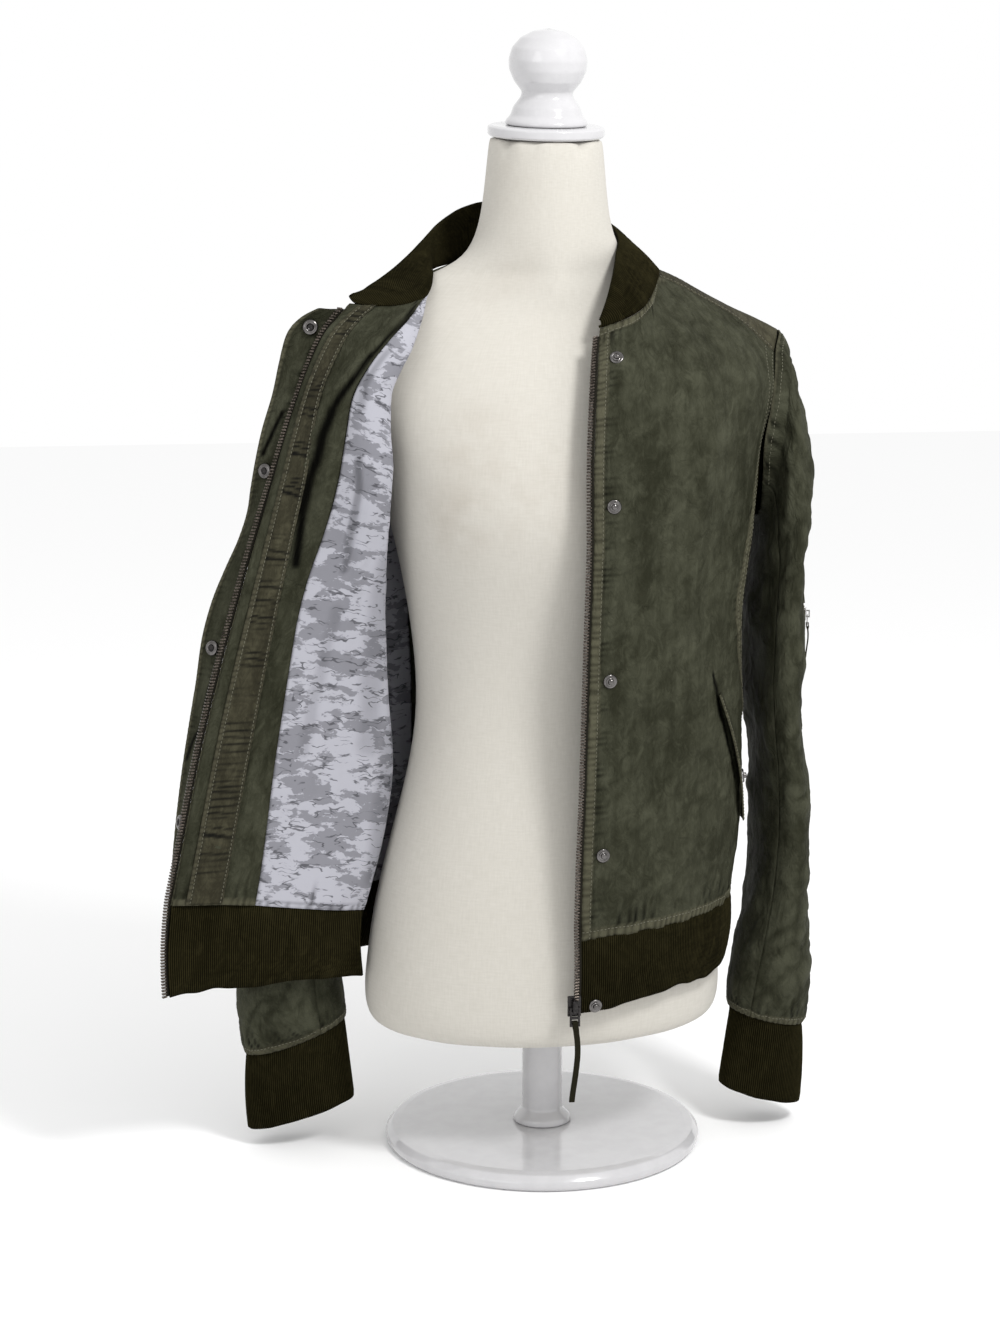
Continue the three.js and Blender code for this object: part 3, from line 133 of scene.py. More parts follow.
soft_light("key", (0.65, -1.15, 1.75), (0.05, 0, 0.6), 0.45, 22)
soft_light("fill", (-1.8, -1.9, 1.4), (0, 0, 0.5), 1.4, 6)

# %% [markdown]
# Materials are made of nodes. Two small helpers keep them short: one adds a node and fills its sockets, and one makes a
# node group with named sockets, for an effect that several finishes share.

# %% Node helpers
def put(socket, value):
    if isinstance(value, bpy.types.NodeSocket):
        socket.id_data.links.new(value, socket)
    elif socket.type == "RGBA" and len(value) == 3:
        socket.default_value = (*value, 1)
    else:
        socket.default_value = value


def add(tree, kind, values=(), settings=None, **named):
    node = tree.nodes.new("ShaderNode" + kind)
    for key, value in (settings or {}).items():
        setattr(node, key, value)
    for number, value in enumerate(values):
        if value is not None:
            put(node.inputs[number], value)
    for name, value in named.items():
        put(node.inputs[name.replace("_", " ")], value)
    return node


def maths(tree, operation, *values):
    return add(tree, "Math", values, {"operation": operation}).outputs[0]


def blend_colour(tree, share, first, second, mode="MIX"):
    node = add(tree, "Mix", (), {"data_type": "RGBA", "blend_type": mode})
    put(node.inputs["Factor"], share)
    put(node.inputs[6], first)
    put(node.inputs[7], second)
    return node.outputs[2]


def ramp(tree, value, low, high):
    node = add(tree, "MapRange", (value, low, high, 0.0, 1.0), {"interpolation_type": "SMOOTHSTEP"})
    return node.outputs[0]


def stretched(tree, vector, scale):
    return add(tree, "Mapping", (vector,), Scale=scale).outputs[0]


def noise(tree, vector, scale, detail=2.0, roughness=0.5, distortion=0.0):
    node = add(tree, "TexNoise", (), Vector=vector, Scale=scale, Detail=detail, Roughness=roughness)
    node.inputs["Distortion"].default_value = distortion
    return node.outputs["Fac"]


def make_group(name, inputs, outputs):
    tree = bpy.data.node_groups.new(name, "ShaderNodeTree")
    for label, kind, value in inputs:
        socket = tree.interface.new_socket(label, in_out="INPUT", socket_type="NodeSocket" + kind)
        if value is not None:
            socket.default_value = value
    for label, kind in outputs:
        tree.interface.new_socket(label, in_out="OUTPUT", socket_type="NodeSocket" + kind)
    return tree, tree.nodes.new("NodeGroupInput").outputs, tree.nodes.new("NodeGroupOutput").inputs


def use_group(tree, group, **named):
    node = tree.nodes.new("ShaderNodeGroup")
    node.node_tree = group
    for name, value in named.items():
        put(node.inputs[name.replace("_", " ")], value)
    return node.outputs


def finish_material(name, **constants):
    material = bpy.data.materials.new(name)
    material.use_nodes = True
    shader = material.node_tree.nodes["Principled BSDF"]
    for label, value in constants.items():
        put(shader.inputs[label.replace("_", " ")], value)
    return material, material.node_tree, shader


# %% [markdown]
# Washed cotton is never one colour: its dye is cloudy. The group also paints light and shade: it makes the colour
# paler on the raised folds and darker in the creases, and draws thin darker and paler lines as the painted shade of
# fine crinkles. It mixes these from the cloth's own map and from the heights that its wrinkles had.

# %% Washed cloth group
washed, ins, outs = make_group(
    "washed_cloth",
    [("Vector", "Vector", None), ("Dark", "Color", (0, 0, 0, 1)), ("Light", "Color", (1, 1, 1, 1)),
     ("Height", "Float", 0.5), ("Wear", "Float", 0.5)],
    [("Colour", "Color")],
)
clouds = noise(washed, stretched(washed, ins["Vector"], (1.6, 1.0, 1.0)), 10.0, 2.0, 0.5)
streaks = noise(washed, stretched(washed, ins["Vector"], (9.0, 1.4, 1.0)), 12.0, 3.0, 0.55)
# Painted shade of the fine crinkles: thin darker and paler lines from this noise.
crumple = noise(washed, stretched(washed, ins["Vector"], (1.0, 0.6, 1.0)), 95.0, 4.0, 0.65, 0.8)
lines = maths(washed, "ABSOLUTE", maths(washed, "SUBTRACT", crumple, 0.5))
fibres = noise(washed, stretched(washed, ins["Vector"], (1.0, 0.25, 1.0)), 900.0, 2.0)
cloudy = maths(washed, "ADD", maths(washed, "MULTIPLY", clouds, 0.55), maths(washed, "MULTIPLY", streaks, 0.45))
# Painted light and shade of the folds: paler where the wrinkles rise, darker in their hollows.
fold_light_and_shade = maths(washed, "MULTIPLY", maths(washed, "SUBTRACT", ins["Height"], 0.5), ins["Wear"])
crinkle_light_and_shade = maths(washed, "MULTIPLY", maths(washed, "SUBTRACT", lines, 0.1), maths(washed, "MULTIPLY", ins["Wear"], 1.5))
mixed = maths(washed, "ADD", maths(washed, "ADD", cloudy, fold_light_and_shade), crinkle_light_and_shade)
speckled = maths(washed, "ADD", mixed, maths(washed, "MULTIPLY", fibres, 0.12))
put(outs["Colour"], blend_colour(washed, ramp(washed, speckled, 0.25, 0.9), ins["Dark"], ins["Light"]))

# %% [markdown]
# A weave or a knit is a small relief. The group gives its height: threads across and along the cloth's map, with a
# pitch for each, so that one group serves plain weave, fine knit and linen.

# %% Thread relief group
threads, ins, outs = make_group(
    "thread_relief",
    [("Vector", "Vector", None), ("Across", "Float", 1500.0), ("Along", "Float", 1500.0), ("Unevenness", "Float", 0.4)],
    [("Height", "Float")],
)
parts = add(threads, "SeparateXYZ", (ins["Vector"],)).outputs
wobble = maths(threads, "MULTIPLY", noise(threads, ins["Vector"], 300.0, 2.0), ins["Unevenness"])
waves = []
for axis, pitch in (("X", ins["Across"]), ("Y", ins["Along"])):
    turn = maths(threads, "ADD", maths(threads, "MULTIPLY", parts[axis], pitch), maths(threads, "MULTIPLY", wobble, 4.0))
    waves.append(maths(threads, "SINE", maths(threads, "MULTIPLY", turn, 2 * math.pi)))
woven = maths(threads, "MULTIPLY", waves[0], waves[1])
put(outs["Height"], maths(threads, "ADD", maths(threads, "MULTIPLY", woven, 0.25), maths(threads, "ADD", wobble, 0.5)))
print("groups", [g.name for g in bpy.data.node_groups])

# %% [markdown]
# The shell cloth is a washed olive cotton and nylon. It has a low sheen, fine crinkles that are too small to model, and
# a paler tone in its stitched bands, which the mesh marks with an attribute named band. Its colour also takes painted
# light and shade from the mesh's height attribute, and painted shade of deep folds from its shade attribute.

# %% Cloth finishes
def attribute(tree, name):
    return add(tree, "Attribute", (), {"attribute_name": name}).outputs["Fac"]


DEEP_SHADE = (0.0015, 0.0015, 0.0010)


def cloth_finish(name, dark, light, band_colour, crinkle, threads_per_metre, bump, shade_strength=0.5, **constants):
    material, tree, shader = finish_material(name, **constants)
    uv = add(tree, "TexCoord").outputs["UV"]
    band = attribute(tree, "band")
    # The height attribute is painted light and shade of the folds and crinkles.
    height = attribute(tree, "height")
    colour = use_group(tree, washed, Vector=uv, Dark=dark, Light=light, Height=height, Wear=shade_strength)["Colour"]
    # The bands are paler, and paler still where they rise, which is painted light.
    band_fade_and_light = maths(tree, "MULTIPLY", band, maths(tree, "ADD", 0.45, maths(tree, "MULTIPLY", height, 0.5)))
    shown = blend_colour(tree, band_fade_and_light, colour, band_colour)
    put(shader.inputs["Base Color"], blend_colour(tree, attribute(tree, "shade"), shown, DEEP_SHADE))
    swirl = noise(tree, stretched(tree, uv, (1.0, 0.6, 1.0)), 75.0, 5.0, 0.62, 0.7)
    creased = maths(tree, "ABSOLUTE", maths(tree, "SUBTRACT", swirl, 0.5))
    relief = use_group(tree, threads, Vector=uv, Across=threads_per_metre, Along=threads_per_metre)["Height"]
    first = add(tree, "Bump", (), Strength=crinkle, Distance=0.0060, Height=creased).outputs[0]
    second = add(tree, "Bump", (), Strength=bump, Distance=0.00025, Height=relief, Normal=first).outputs[0]
    put(shader.inputs["Normal"], second)
    return material


SHELL_DARK, SHELL_LIGHT = (0.0195, 0.0200, 0.0120), (0.0560, 0.0575, 0.0385)
BAND_LIGHT = (0.092, 0.088, 0.058)
finishes = {}
finishes["shell"] = cloth_finish(
    "olive_shell", SHELL_DARK, SHELL_LIGHT, BAND_LIGHT, 0.9, 1400.0, 0.5, shade_strength=0.7,
    Roughness=0.6, Specular_IOR_Level=0.02,
)
finishes["trim"] = cloth_finish(
    "stitched_band", (0.020, 0.018, 0.010), (0.060, 0.056, 0.034), (0.066, 0.062, 0.040), 0.6, 1100.0, 0.6, shade_strength=0.9,
    Roughness=0.75, Specular_IOR_Level=0.1,
)
finishes["gusset"] = cloth_finish(
    "fine_knit", (0.0085, 0.0075, 0.0036), (0.025, 0.0228, 0.0122), (0.03, 0.027, 0.015), 0.12, 900.0, 0.7, shade_strength=0.3,
    Roughness=0.8, Specular_IOR_Level=0.0,
)
finishes["rib"] = cloth_finish(
    "ribbed_knit", (0.0034, 0.0029, 0.0007), (0.0200, 0.0172, 0.0068), (0.02, 0.018, 0.008), 0.15, 800.0, 0.8, shade_strength=1.1,
    Roughness=0.95, Specular_IOR_Level=0.03,
)
print("finishes", sorted(finishes))

# %% [markdown]
# The lining is printed with a general camouflage: pale grey with broken, mostly level blotches and thin dashes. Blotches
# come from noise that is stretched along the cloth and cut at a level, and the dashes from a narrow slice of it.

# %% Printed lining
LINING_PALE, LINING_MID, LINING_DEEP = (0.37, 0.37, 0.41), (0.175, 0.175, 0.195), (0.06, 0.06, 0.068)
material, tree, shader = finish_material("printed_lining", Roughness=0.7, Specular_IOR_Level=0.08)
uv = add(tree, "TexCoord").outputs["UV"]
warped = add(tree, "VectorMath", (uv, None), {"operation": "ADD"})
shake = add(tree, "TexNoise", (), Vector=uv, Scale=110.0, Detail=2.0).outputs["Color"]
put(warped.inputs[1], add(tree, "VectorMath", (shake, (0.006, 0.006, 0)), {"operation": "MULTIPLY"}).outputs[0])
level = stretched(tree, warped.outputs[0], (0.55, 1.25, 1.0))
patches = noise(tree, stretched(tree, uv, (0.6, 1.0, 1.0)), 13.0, 1.0)
blotch = noise(tree, level, 44.0, 5.0, 0.66)
cut = maths(tree, "SUBTRACT", 0.60, maths(tree, "MULTIPLY", patches, 0.22))
blotches = ramp(tree, maths(tree, "SUBTRACT", blotch, cut), 0.0, 0.03)
thin = noise(tree, stretched(tree, warped.outputs[0], (0.4, 1.5, 1.0)), 95.0, 2.0)
slice_ = maths(tree, "ABSOLUTE", maths(tree, "SUBTRACT", thin, 0.5))
gaps = ramp(tree, noise(tree, level, 100.0, 2.0), 0.48, 0.55)
dashes = maths(tree, "MULTIPLY", maths(tree, "SUBTRACT", 1.0, ramp(tree, slice_, 0.012, 0.028)), gaps)
printed = blend_colour(tree, maths(tree, "MULTIPLY", blotches, 0.85), LINING_PALE, LINING_MID)
printed = blend_colour(tree, maths(tree, "MULTIPLY", dashes, 0.8), printed, LINING_DEEP)
put(shader.inputs["Base Color"], blend_colour(tree, attribute(tree, "shade"), printed, (0.02, 0.02, 0.023)))
relief = use_group(tree, threads, Vector=uv, Across=1700.0, Along=1700.0)["Height"]
creased = noise(tree, uv, 120.0, 3.0)
first = add(tree, "Bump", (), Strength=0.25, Distance=0.001, Height=creased).outputs[0]
put(shader.inputs["Normal"], add(tree, "Bump", (), Strength=0.3, Distance=0.0002, Height=relief, Normal=first).outputs[0])
finishes["lining"] = material

# %% [markdown]
# The form wears unbleached linen: coarse, uneven threads and a warm grey-white. A few soft balls placed in the form's
# own
# frame make it darker and browner: faint patches on the bust, and painted shade near the collar.

# %% Linen
BROWN_PATCHES_AND_SHADE = [
    # x, y, z, radius, strength
    (-0.075, -0.105, 0.600, 0.060, 0.55),
    (-0.095, -0.100, 0.545, 0.055, 0.70),
    (-0.030, -0.115, 0.560, 0.070, 0.35),
    # The next two balls are painted shade near the collar.
    (-0.045, -0.050, 0.735, 0.045, 0.30),
    (-0.040, -0.045, 0.800, 0.040, 0.25),
]
material, tree, shader = finish_material("linen", Roughness=0.9, Sheen_Weight=0.1, Specular_IOR_Level=0.2)
place = add(tree, "TexCoord").outputs["Object"]
uv = add(tree, "TexCoord").outputs["UV"]
patches_and_shade = 0.0
for x, y, z, radius, strength in BROWN_PATCHES_AND_SHADE:
    away = add(tree, "VectorMath", (place, (x, y, z)), {"operation": "DISTANCE"}).outputs["Value"]
    ball = maths(tree, "MULTIPLY", maths(tree, "SUBTRACT", 1.0, ramp(tree, away, 0.0, radius)), strength)
    patches_and_shade = maths(tree, "MAXIMUM", ball, patches_and_shade)
patches_and_shade = maths(tree, "MULTIPLY", patches_and_shade, ramp(tree, noise(tree, place, 30.0, 4.0, 0.6), 0.3, 0.75))
slubs = noise(tree, stretched(tree, uv, (1.0, 0.12, 1.0)), 700.0, 2.0)
cross = noise(tree, stretched(tree, uv, (0.12, 1.0, 1.0)), 700.0, 2.0)
fibre = maths(tree, "MULTIPLY", maths(tree, "ADD", slubs, cross), 0.5)
tone = blend_colour(tree, ramp(tree, fibre, 0.2, 0.8), (0.47, 0.45, 0.405), (0.55, 0.53, 0.485))
tone = blend_colour(tree, maths(tree, "MULTIPLY", noise(tree, place, 9.0, 3.0), 0.45), tone, (0.45, 0.425, 0.375))
# The colour turns darker and browner in the bust patches, and in the painted shade near the collar.
put(shader.inputs["Base Color"], blend_colour(tree, maths(tree, "MULTIPLY", patches_and_shade, 0.6), tone, (0.31, 0.255, 0.20)))
relief = use_group(tree, threads, Vector=uv, Across=1100.0, Along=1100.0, Unevenness=0.8)["Height"]
put(shader.inputs["Normal"], add(tree, "Bump", (), Strength=0.35, Distance=0.0002, Height=relief).outputs[0])
finishes["linen"] = material

# %% [markdown]
# Hard finishes: white lacquer on the neck cap and stand, dark worn metal on the zips and their sliders, and gunmetal
# on the snaps. Metal gets small scratches in its roughness, because a perfectly even gloss looks like plastic.

# %% Hard finishes
def hard_finish(name, dark, light, rough_low, rough_high, scale, **constants):
    material, tree, shader = finish_material(name, **constants)
    place = add(tree, "TexCoord").outputs["Object"]
    worn = noise(tree, place, scale, 4.0, 0.6)
    put(shader.inputs["Base Color"], blend_colour(tree, ramp(tree, worn, 0.3, 0.7), dark, light))
    rough = add(tree, "MapRange", (worn, 0.3, 0.7, rough_low, rough_high)).outputs[0]
    put(shader.inputs["Roughness"], rough)
    put(shader.inputs["Normal"], add(tree, "Bump", (), Strength=0.08, Distance=0.0002, Height=worn).outputs[0])
    return material


finishes["paint"] = hard_finish("white_lacquer", (0.49, 0.485, 0.495), (0.52, 0.515, 0.525), 0.12, 0.2, 60.0, Coat_Weight=0.6)
finishes["zip"] = hard_finish("dark_zip", (0.035, 0.028, 0.022), (0.13, 0.11, 0.09), 0.25, 0.45, 900.0, Metallic=0.9)
finishes["teeth"] = hard_finish("worn_teeth", (0.02, 0.016, 0.013), (0.14, 0.118, 0.10), 0.2, 0.45, 700.0, Metallic=0.95)
finishes["metal"] = hard_finish("gunmetal", (0.09, 0.085, 0.082), (0.17, 0.162, 0.158), 0.16, 0.26, 250.0, Metallic=1.0)
finishes["silver"] = hard_finish("bright_metal", (0.42, 0.41, 0.40), (0.66, 0.65, 0.64), 0.15, 0.3, 600.0, Metallic=1.0)
# Black enamel for the main slider, bridge and pull; it also paints the shade inside the snap sockets' holes.
finishes["black"] = hard_finish("black_enamel_and_hole_shade", (0.008, 0.007, 0.007), (0.03, 0.027, 0.026), 0.2, 0.32, 500.0,
                                Metallic=0.6)

# %% [markdown]
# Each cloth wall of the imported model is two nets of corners, one on each side. A walk over the triangles of one side
# gives the net back in order, rows upwards and columns to the right, which a smooth surface can then be drawn through.

# %% Reading a cloth wall
MERGE = 2e-6
WALL_SLACK = 4e-6


def islands(mesh):
    left = set(mesh.verts)
    found = []
    while left:
        stack = [left.pop()]
        group = list(stack)
        while stack:
            for edge in stack.pop().link_edges:
                for vert in edge.verts:
                    if vert in left:
                        left.remove(vert)
                        stack.append(vert)
                        group.append(vert)
        found.append(group)
    return found


def open_sides(node, thickness):
    mesh = bmesh.new()
    mesh.from_mesh(frame["nodes"][node].data)
    bmesh.ops.remove_doubles(mesh, verts=mesh.verts, dist=MERGE)
    rim = [f for f in mesh.faces if any(abs(e.calc_length() - thickness * MM) < WALL_SLACK for e in f.edges)]
    bmesh.ops.delete(mesh, geom=rim, context="FACES")
    return mesh, islands(mesh)


def next_row(row, used, closed, straight):
    pairs = list(zip(row, row[1:] + row[:1] if closed else row[1:]))
    thirds = []
    for first, second in pairs:
        face = next(f for f in first.link_faces if second in f.verts and f not in used)
        thirds.append(next(v for v in face.verts if v not in (first, second)))
    if not closed:
        ends = (row[-1], thirds[-1]) if straight else (row[0], thirds[0])
        face = next(f for f in ends[0].link_faces if ends[1] in f.verts and f not in used
                    and not all(v in row or v in thirds for v in f.verts))
        last = next(v for v in face.verts if v not in ends)
        thirds = thirds + [last] if straight else [last] + thirds
    elif not straight:
        thirds = thirds[-1:] + thirds[:-1]
    for vert in row:
        used.update(vert.link_faces)
    return thirds


def rows_of(first, closed, straight):
    used = set()
    rows = [first]
    while any(f not in used for f in rows[-1][0].link_faces):
        rows.append(next_row(rows[-1], used, closed, straight))
    return rows


def net_of(node, thickness, toward, up=(0, 0, 1)):
    mesh, sides = open_sides(node, thickness)
    toward, up = Vector(toward), Vector(up)
    side = max(sides, key=lambda verts: sum((v.normal.dot(toward) for v in verts), 0.0) / len(verts))
    border = [v for v in side if v.is_boundary]
    corners = [v for v in border if len(v.link_edges) <= 3]
    loop = [corners[0]]
    while len(loop) < len(border):
        ahead = [e.other_vert(loop[-1]) for e in loop[-1].link_edges if e.is_boundary]
        loop.append(next(v for v in ahead if v not in loop))
    turns = [i for i, v in enumerate(loop) if v in corners] + [len(loop)]
    loop.append(loop[0])
    edges = [loop[a:b + 1] for a, b in zip(turns, turns[1:])]
    level = [abs((e[-1].co - e[0].co).normalized().dot(up)) for e in edges]
    first = 0 if level[0] + level[2] < level[1] + level[3] else 1
    low, high = edges[first], edges[first + 2]
    if sum((v.co.dot(up) for v in low), 0.0) / len(low) > sum((v.co.dot(up) for v in high), 0.0) / len(high):
        low = high
    straight = len(low[0].link_faces) == 1
    rows = rows_of(list(low), False, straight)
    net = np.array([[v.co[:] for v in row] for row in rows])
    across, along = net[:, -1].mean(0) - net[:, 0].mean(0), net[-1].mean(0) - net[0].mean(0)
    if np.dot(np.cross(across, along), toward) < 0:
        net = net[:, ::-1]
    mesh.free()
    return net


print("front net", net_of("front_left", 1.3, (0.3, -1, 0)).shape)

# %% [markdown]
# A smooth surface through the net is sampled every two or three millimetres. The spacing is worked out along the
# cloth, so its map is true to size, and a weave or a row of stitches keeps its scale on every panel.

# %% Drawing a smooth sheet through a net
def through(points, places):
    padded = np.concatenate([2 * points[:1] - points[1:2], points, 2 * points[-1:] - points[-2:-1]])
    cell = np.minimum(places.astype(int), len(points) - 2)
    t = (places - cell)[:, None, None]
    a, b, c, d = (padded[cell + k] for k in range(4))
    return b + 0.5 * t * (c - a + t * (2 * a - 5 * b + 4 * c - d + t * (3 * (b - c) + d - a)))


def even_places(points, step):
    lengths = np.linalg.norm(np.diff(points, axis=0), axis=2).mean(1)
    reach = np.concatenate([[0], np.cumsum(lengths)])
    count = max(2, int(round(reach[-1] / step)) + 1)
    return np.interp(np.linspace(0, reach[-1], count), reach, np.arange(len(reach)))


def travelled(points):
    steps = np.linalg.norm(np.diff(points, axis=0), axis=2)
    return np.concatenate([np.zeros((1, steps.shape[1])), np.cumsum(steps, axis=0)]) / MM


class Sheet:
    """A fine grid of cloth points: x and y are millimetres from its left and low edges."""

    def __init__(self, net, step, step_up=None):
        points = through(net, even_places(net, (step_up or step) * MM))
        points = points.transpose(1, 0, 2)
        points = through(points, even_places(points, step * MM)).transpose(1, 0, 2)
        self.measure(points)

    def measure(self, points):
        self.points = points
        self.x = travelled(points.transpose(1, 0, 2)).T
        self.y = travelled(points)
        self.right = self.x[:, -1:] - self.x
        self.top = self.y[-1:] - self.y
        self.u = self.x / np.maximum(self.x[:, -1:], 1e-9)
        self.v = self.y / np.maximum(self.y[-1:], 1e-9)
        across = np.gradient(points, axis=1)
        along = np.gradient(points, axis=0)
        normal = np.cross(across, along)
        self.normal = normal / np.maximum(np.linalg.norm(normal, axis=2, keepdims=True), 1e-12)

    def raise_by(self, height):
        """Moves the cloth out by a height in millimetres at each point."""
        self.points = self.points + self.normal * (height * MM)[..., None]

    def at(self, x, y):
        """The point and outward direction x mm along and y mm up."""
        row = min(int(np.searchsorted(self.y[:, self.y.shape[1] // 2], y)), len(self.points) - 1)
        column = min(int(np.searchsorted(self.x[row], x)), self.points.shape[1] - 1)
        return self.points[row, column], self.normal[row, column]


# %% [markdown]
# The grid itself comes from one operator, and its corners are then moved onto the sheet. The same step writes the
# cloth's map in metres, and the attributes that its material reads. A Solidify modifier gives the cloth a thickness.

# %% Making a cloth object
def object_of(mesh_data, name, finish, body=ROOT, replaces=()):
    piece = bpy.data.objects.new(name, mesh_data)
    bpy.context.scene.collection.objects.link(piece)
    mesh_data.materials.append(finishes[finish])
    for polygon in mesh_data.polygons:
        polygon.use_smooth = True
    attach(piece, body)
    if replaces:
        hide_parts(*replaces)
    return piece


def cloth_mesh(name, sheet, points, fields):
    rows, columns = points.shape[:2]
    grid = bmesh.new()
    bmesh.ops.create_grid(grid, x_segments=columns - 1, y_segments=rows - 1, size=0.5)
    data = bpy.data.meshes.new(name)
    grid.to_mesh(data)
    grid.free()
    flat = np.zeros(len(data.vertices) * 3)
    data.vertices.foreach_get("co", flat)
    share = flat.reshape(-1, 3)[:, :2] + 0.5
    i = (share[:, 0] * (columns - 1)).round().astype(int)
    j = (share[:, 1] * (rows - 1)).round().astype(int)
    data.vertices.foreach_set("co", points[j, i].ravel())
    corner = np.zeros(len(data.loops), int)
    data.loops.foreach_get("vertex_index", corner)
    placed = np.stack([sheet.x[j, i], sheet.y[j, i]], 1)[corner] * MM
    data.uv_layers.new(name="cloth").data.foreach_set("uv", placed.ravel())
    for label, field in fields.items():
        layer = data.attributes.new(label, "FLOAT", "POINT")
        layer.data.foreach_set("value", np.asarray(field)[j, i].astype(np.float32))
    return data


def cloth_object(name, sheet, finish, thickness, fields, replaces=()):
    data = cloth_mesh(name, sheet, sheet.points, fields)
    piece = object_of(data, name, finish, replaces=replaces)
    wall = piece.modifiers.new("wall", "SOLIDIFY")
    wall.thickness = thickness * MM
    wall.offset = -1
    return piece


# %% [markdown]
# Wrinkles are added up from three kinds: listed creases, a fine crinkle from smooth noise, and the puckers that a tight
# seam pulls into the cloth beside it. Each gives a height in millimetres at every point of a sheet.

# %% Wrinkles
def smooth_step(value, low, high):
    t = np.clip((value - low) / (high - low), 0, 1)
    return t * t * (3 - 2 * t)


def lattice_noise(x, y, seed):
    lattice = np.random.default_rng(seed).uniform(-1, 1, (64, 64))
    i, j = np.floor(x).astype(int), np.floor(y).astype(int)
    s, t = smooth_step(x - i, 0, 1), smooth_step(y - j, 0, 1)
    corner = [[lattice[(i + a) % 64, (j + b) % 64] for b in (0, 1)] for a in (0, 1)]
    low = corner[0][0] * (1 - s) + corner[1][0] * s
    high = corner[0][1] * (1 - s) + corner[1][1] * s
    return low * (1 - t) + high * t


def crinkle(sheet, size, slant, stretch, seed):
    """Soft ridges between sharper hollows, about size mm apart, longer along the slant."""
    turn = math.radians(slant)
    along = sheet.x * math.cos(turn) + sheet.y * math.sin(turn)
    aside = sheet.y * math.cos(turn) - sheet.x * math.sin(turn)
    aside = aside + 0.6 * size * lattice_noise(along / (2.2 * size), aside / (2.2 * size), seed + 7)
    broad = lattice_noise(along / (size * stretch), aside / size, seed)
    fine = lattice_noise(along / (0.5 * size * stretch), 2.1 * aside / size, seed + 1)
    return 2 * np.abs(broad) + 0.6 * np.abs(fine) - 0.9


def creased(sheet, rows, seed=0):
    """Rows of (x, y, x, y, width, depth) in mm: a soft trough, or a ridge where depth is above 0, from end to end."""
    x = sheet.x + 3.5 * lattice_noise(sheet.x / 31, sheet.y / 31, seed + 40)
    y = sheet.y + 3.5 * lattice_noise(sheet.x / 31, sheet.y / 31, seed + 41)
    total = np.zeros_like(x)
    for x0, y0, x1, y1, width, depth in rows:
        length = math.hypot(x1 - x0, y1 - y0)
        along = ((x - x0) * (x1 - x0) + (y - y0) * (y1 - y0)) / length
        aside = ((y - y0) * (x1 - x0) - (x - x0) * (y1 - y0)) / length
        share = np.clip(along / length, -0.2, 1.2)
        taper = smooth_step(share, -0.15, 0.3) * (1 - smooth_step(share, 0.65, 1.15))
        total += depth * taper * (np.exp(-((aside / width) ** 2)) - 0.35 * np.exp(-((aside / width / 2.2) ** 2)))
    return total


def drawn(sheet, rows, seed):
    """The share of shade that lines of (x, y, x, y, width, share) give a sheet: a fold too deep for light to reach."""
    x = sheet.x + 1.5 * lattice_noise(sheet.x / 17, sheet.y / 17, seed + 50)
    y = sheet.y + 1.5 * lattice_noise(sheet.x / 17, sheet.y / 17, seed + 51)
    shade = np.zeros_like(x)
    for x0, y0, x1, y1, width, share in rows:
        length = math.hypot(x1 - x0, y1 - y0)
        along = np.clip(((x - x0) * (x1 - x0) + (y - y0) * (y1 - y0)) / length, 0, length)
        away = np.hypot(x - x0 - along * (x1 - x0) / length, y - y0 - along * (y1 - y0) / length)
        shade = np.maximum(shade, share * (1 - smooth_step(away, 0.3 * width, 1.4 * width)))
    return shade


def seam_band(distance, run, width, lift, pucker, pitch, reach, seed):
    """A stitched band beside an edge, lifted, with puckers that run on into the cloth as gathers.

    Gives its height, its mask, and the painted shade of the puckers in the band, of the gathers beside it and along its
    edge."""
    mask = 1 - smooth_step(distance, width - 0.8, width + 0.8)
    past = np.exp(-np.maximum(distance - width, 0) / reach)
    phase = run / pitch + 0.9 * lattice_noise(run / (3 * pitch), distance / 60, seed)
    depth = 0.65 + 0.35 * lattice_noise(run / (1.7 * pitch), distance / 40, seed + 3)
    waves = np.sin(2 * np.pi * phase) * depth * smooth_step(distance, -1, 1.5)
    ladder = np.sin(2 * np.pi * (run / 5.2 + 0.8 * lattice_noise(run / 13, distance / 30, seed + 4)))
    sparse = smooth_step(lattice_noise(run / (1.3 * pitch), distance / 90, seed + 6), -0.3, 0.5)
    groove = -0.45 * np.exp(-(((distance - width + 1.2) / 0.8) ** 2)) - 0.25 * np.exp(-(((distance - 1.6) / 0.8) ** 2))
    gathers = smooth_step(-waves, 0.1, 0.65) * smooth_step(past, 0.15, 0.7) * (1 - mask) * sparse
    shade = 0.5 * mask * smooth_step(-ladder, -0.2, 1.0) + min(1.0, 1.2 * pucker) * gathers
    # Painted shade along the band's lifted edge.
    shade += 0.35 * np.exp(-(((distance - width - 0.4) / 0.7) ** 2))
    height = lift * mask * smooth_step(distance, -0.6, 0.9) + groove
    height += pucker * waves * (0.5 * mask + (1 - mask) * past) + 0.4 * pucker * ladder * mask
    return height, mask, shade


# Every edge of a sheet: how far a point lies from it, how far along it, and the share of the way along it.
def edge_of(sheet, side):
    if side in ("left", "right"):
        return (sheet.x if side == "left" else sheet.right), sheet.y, sheet.v
    return (sheet.y if side == "low" else sheet.top), sheet.x, sheet.u


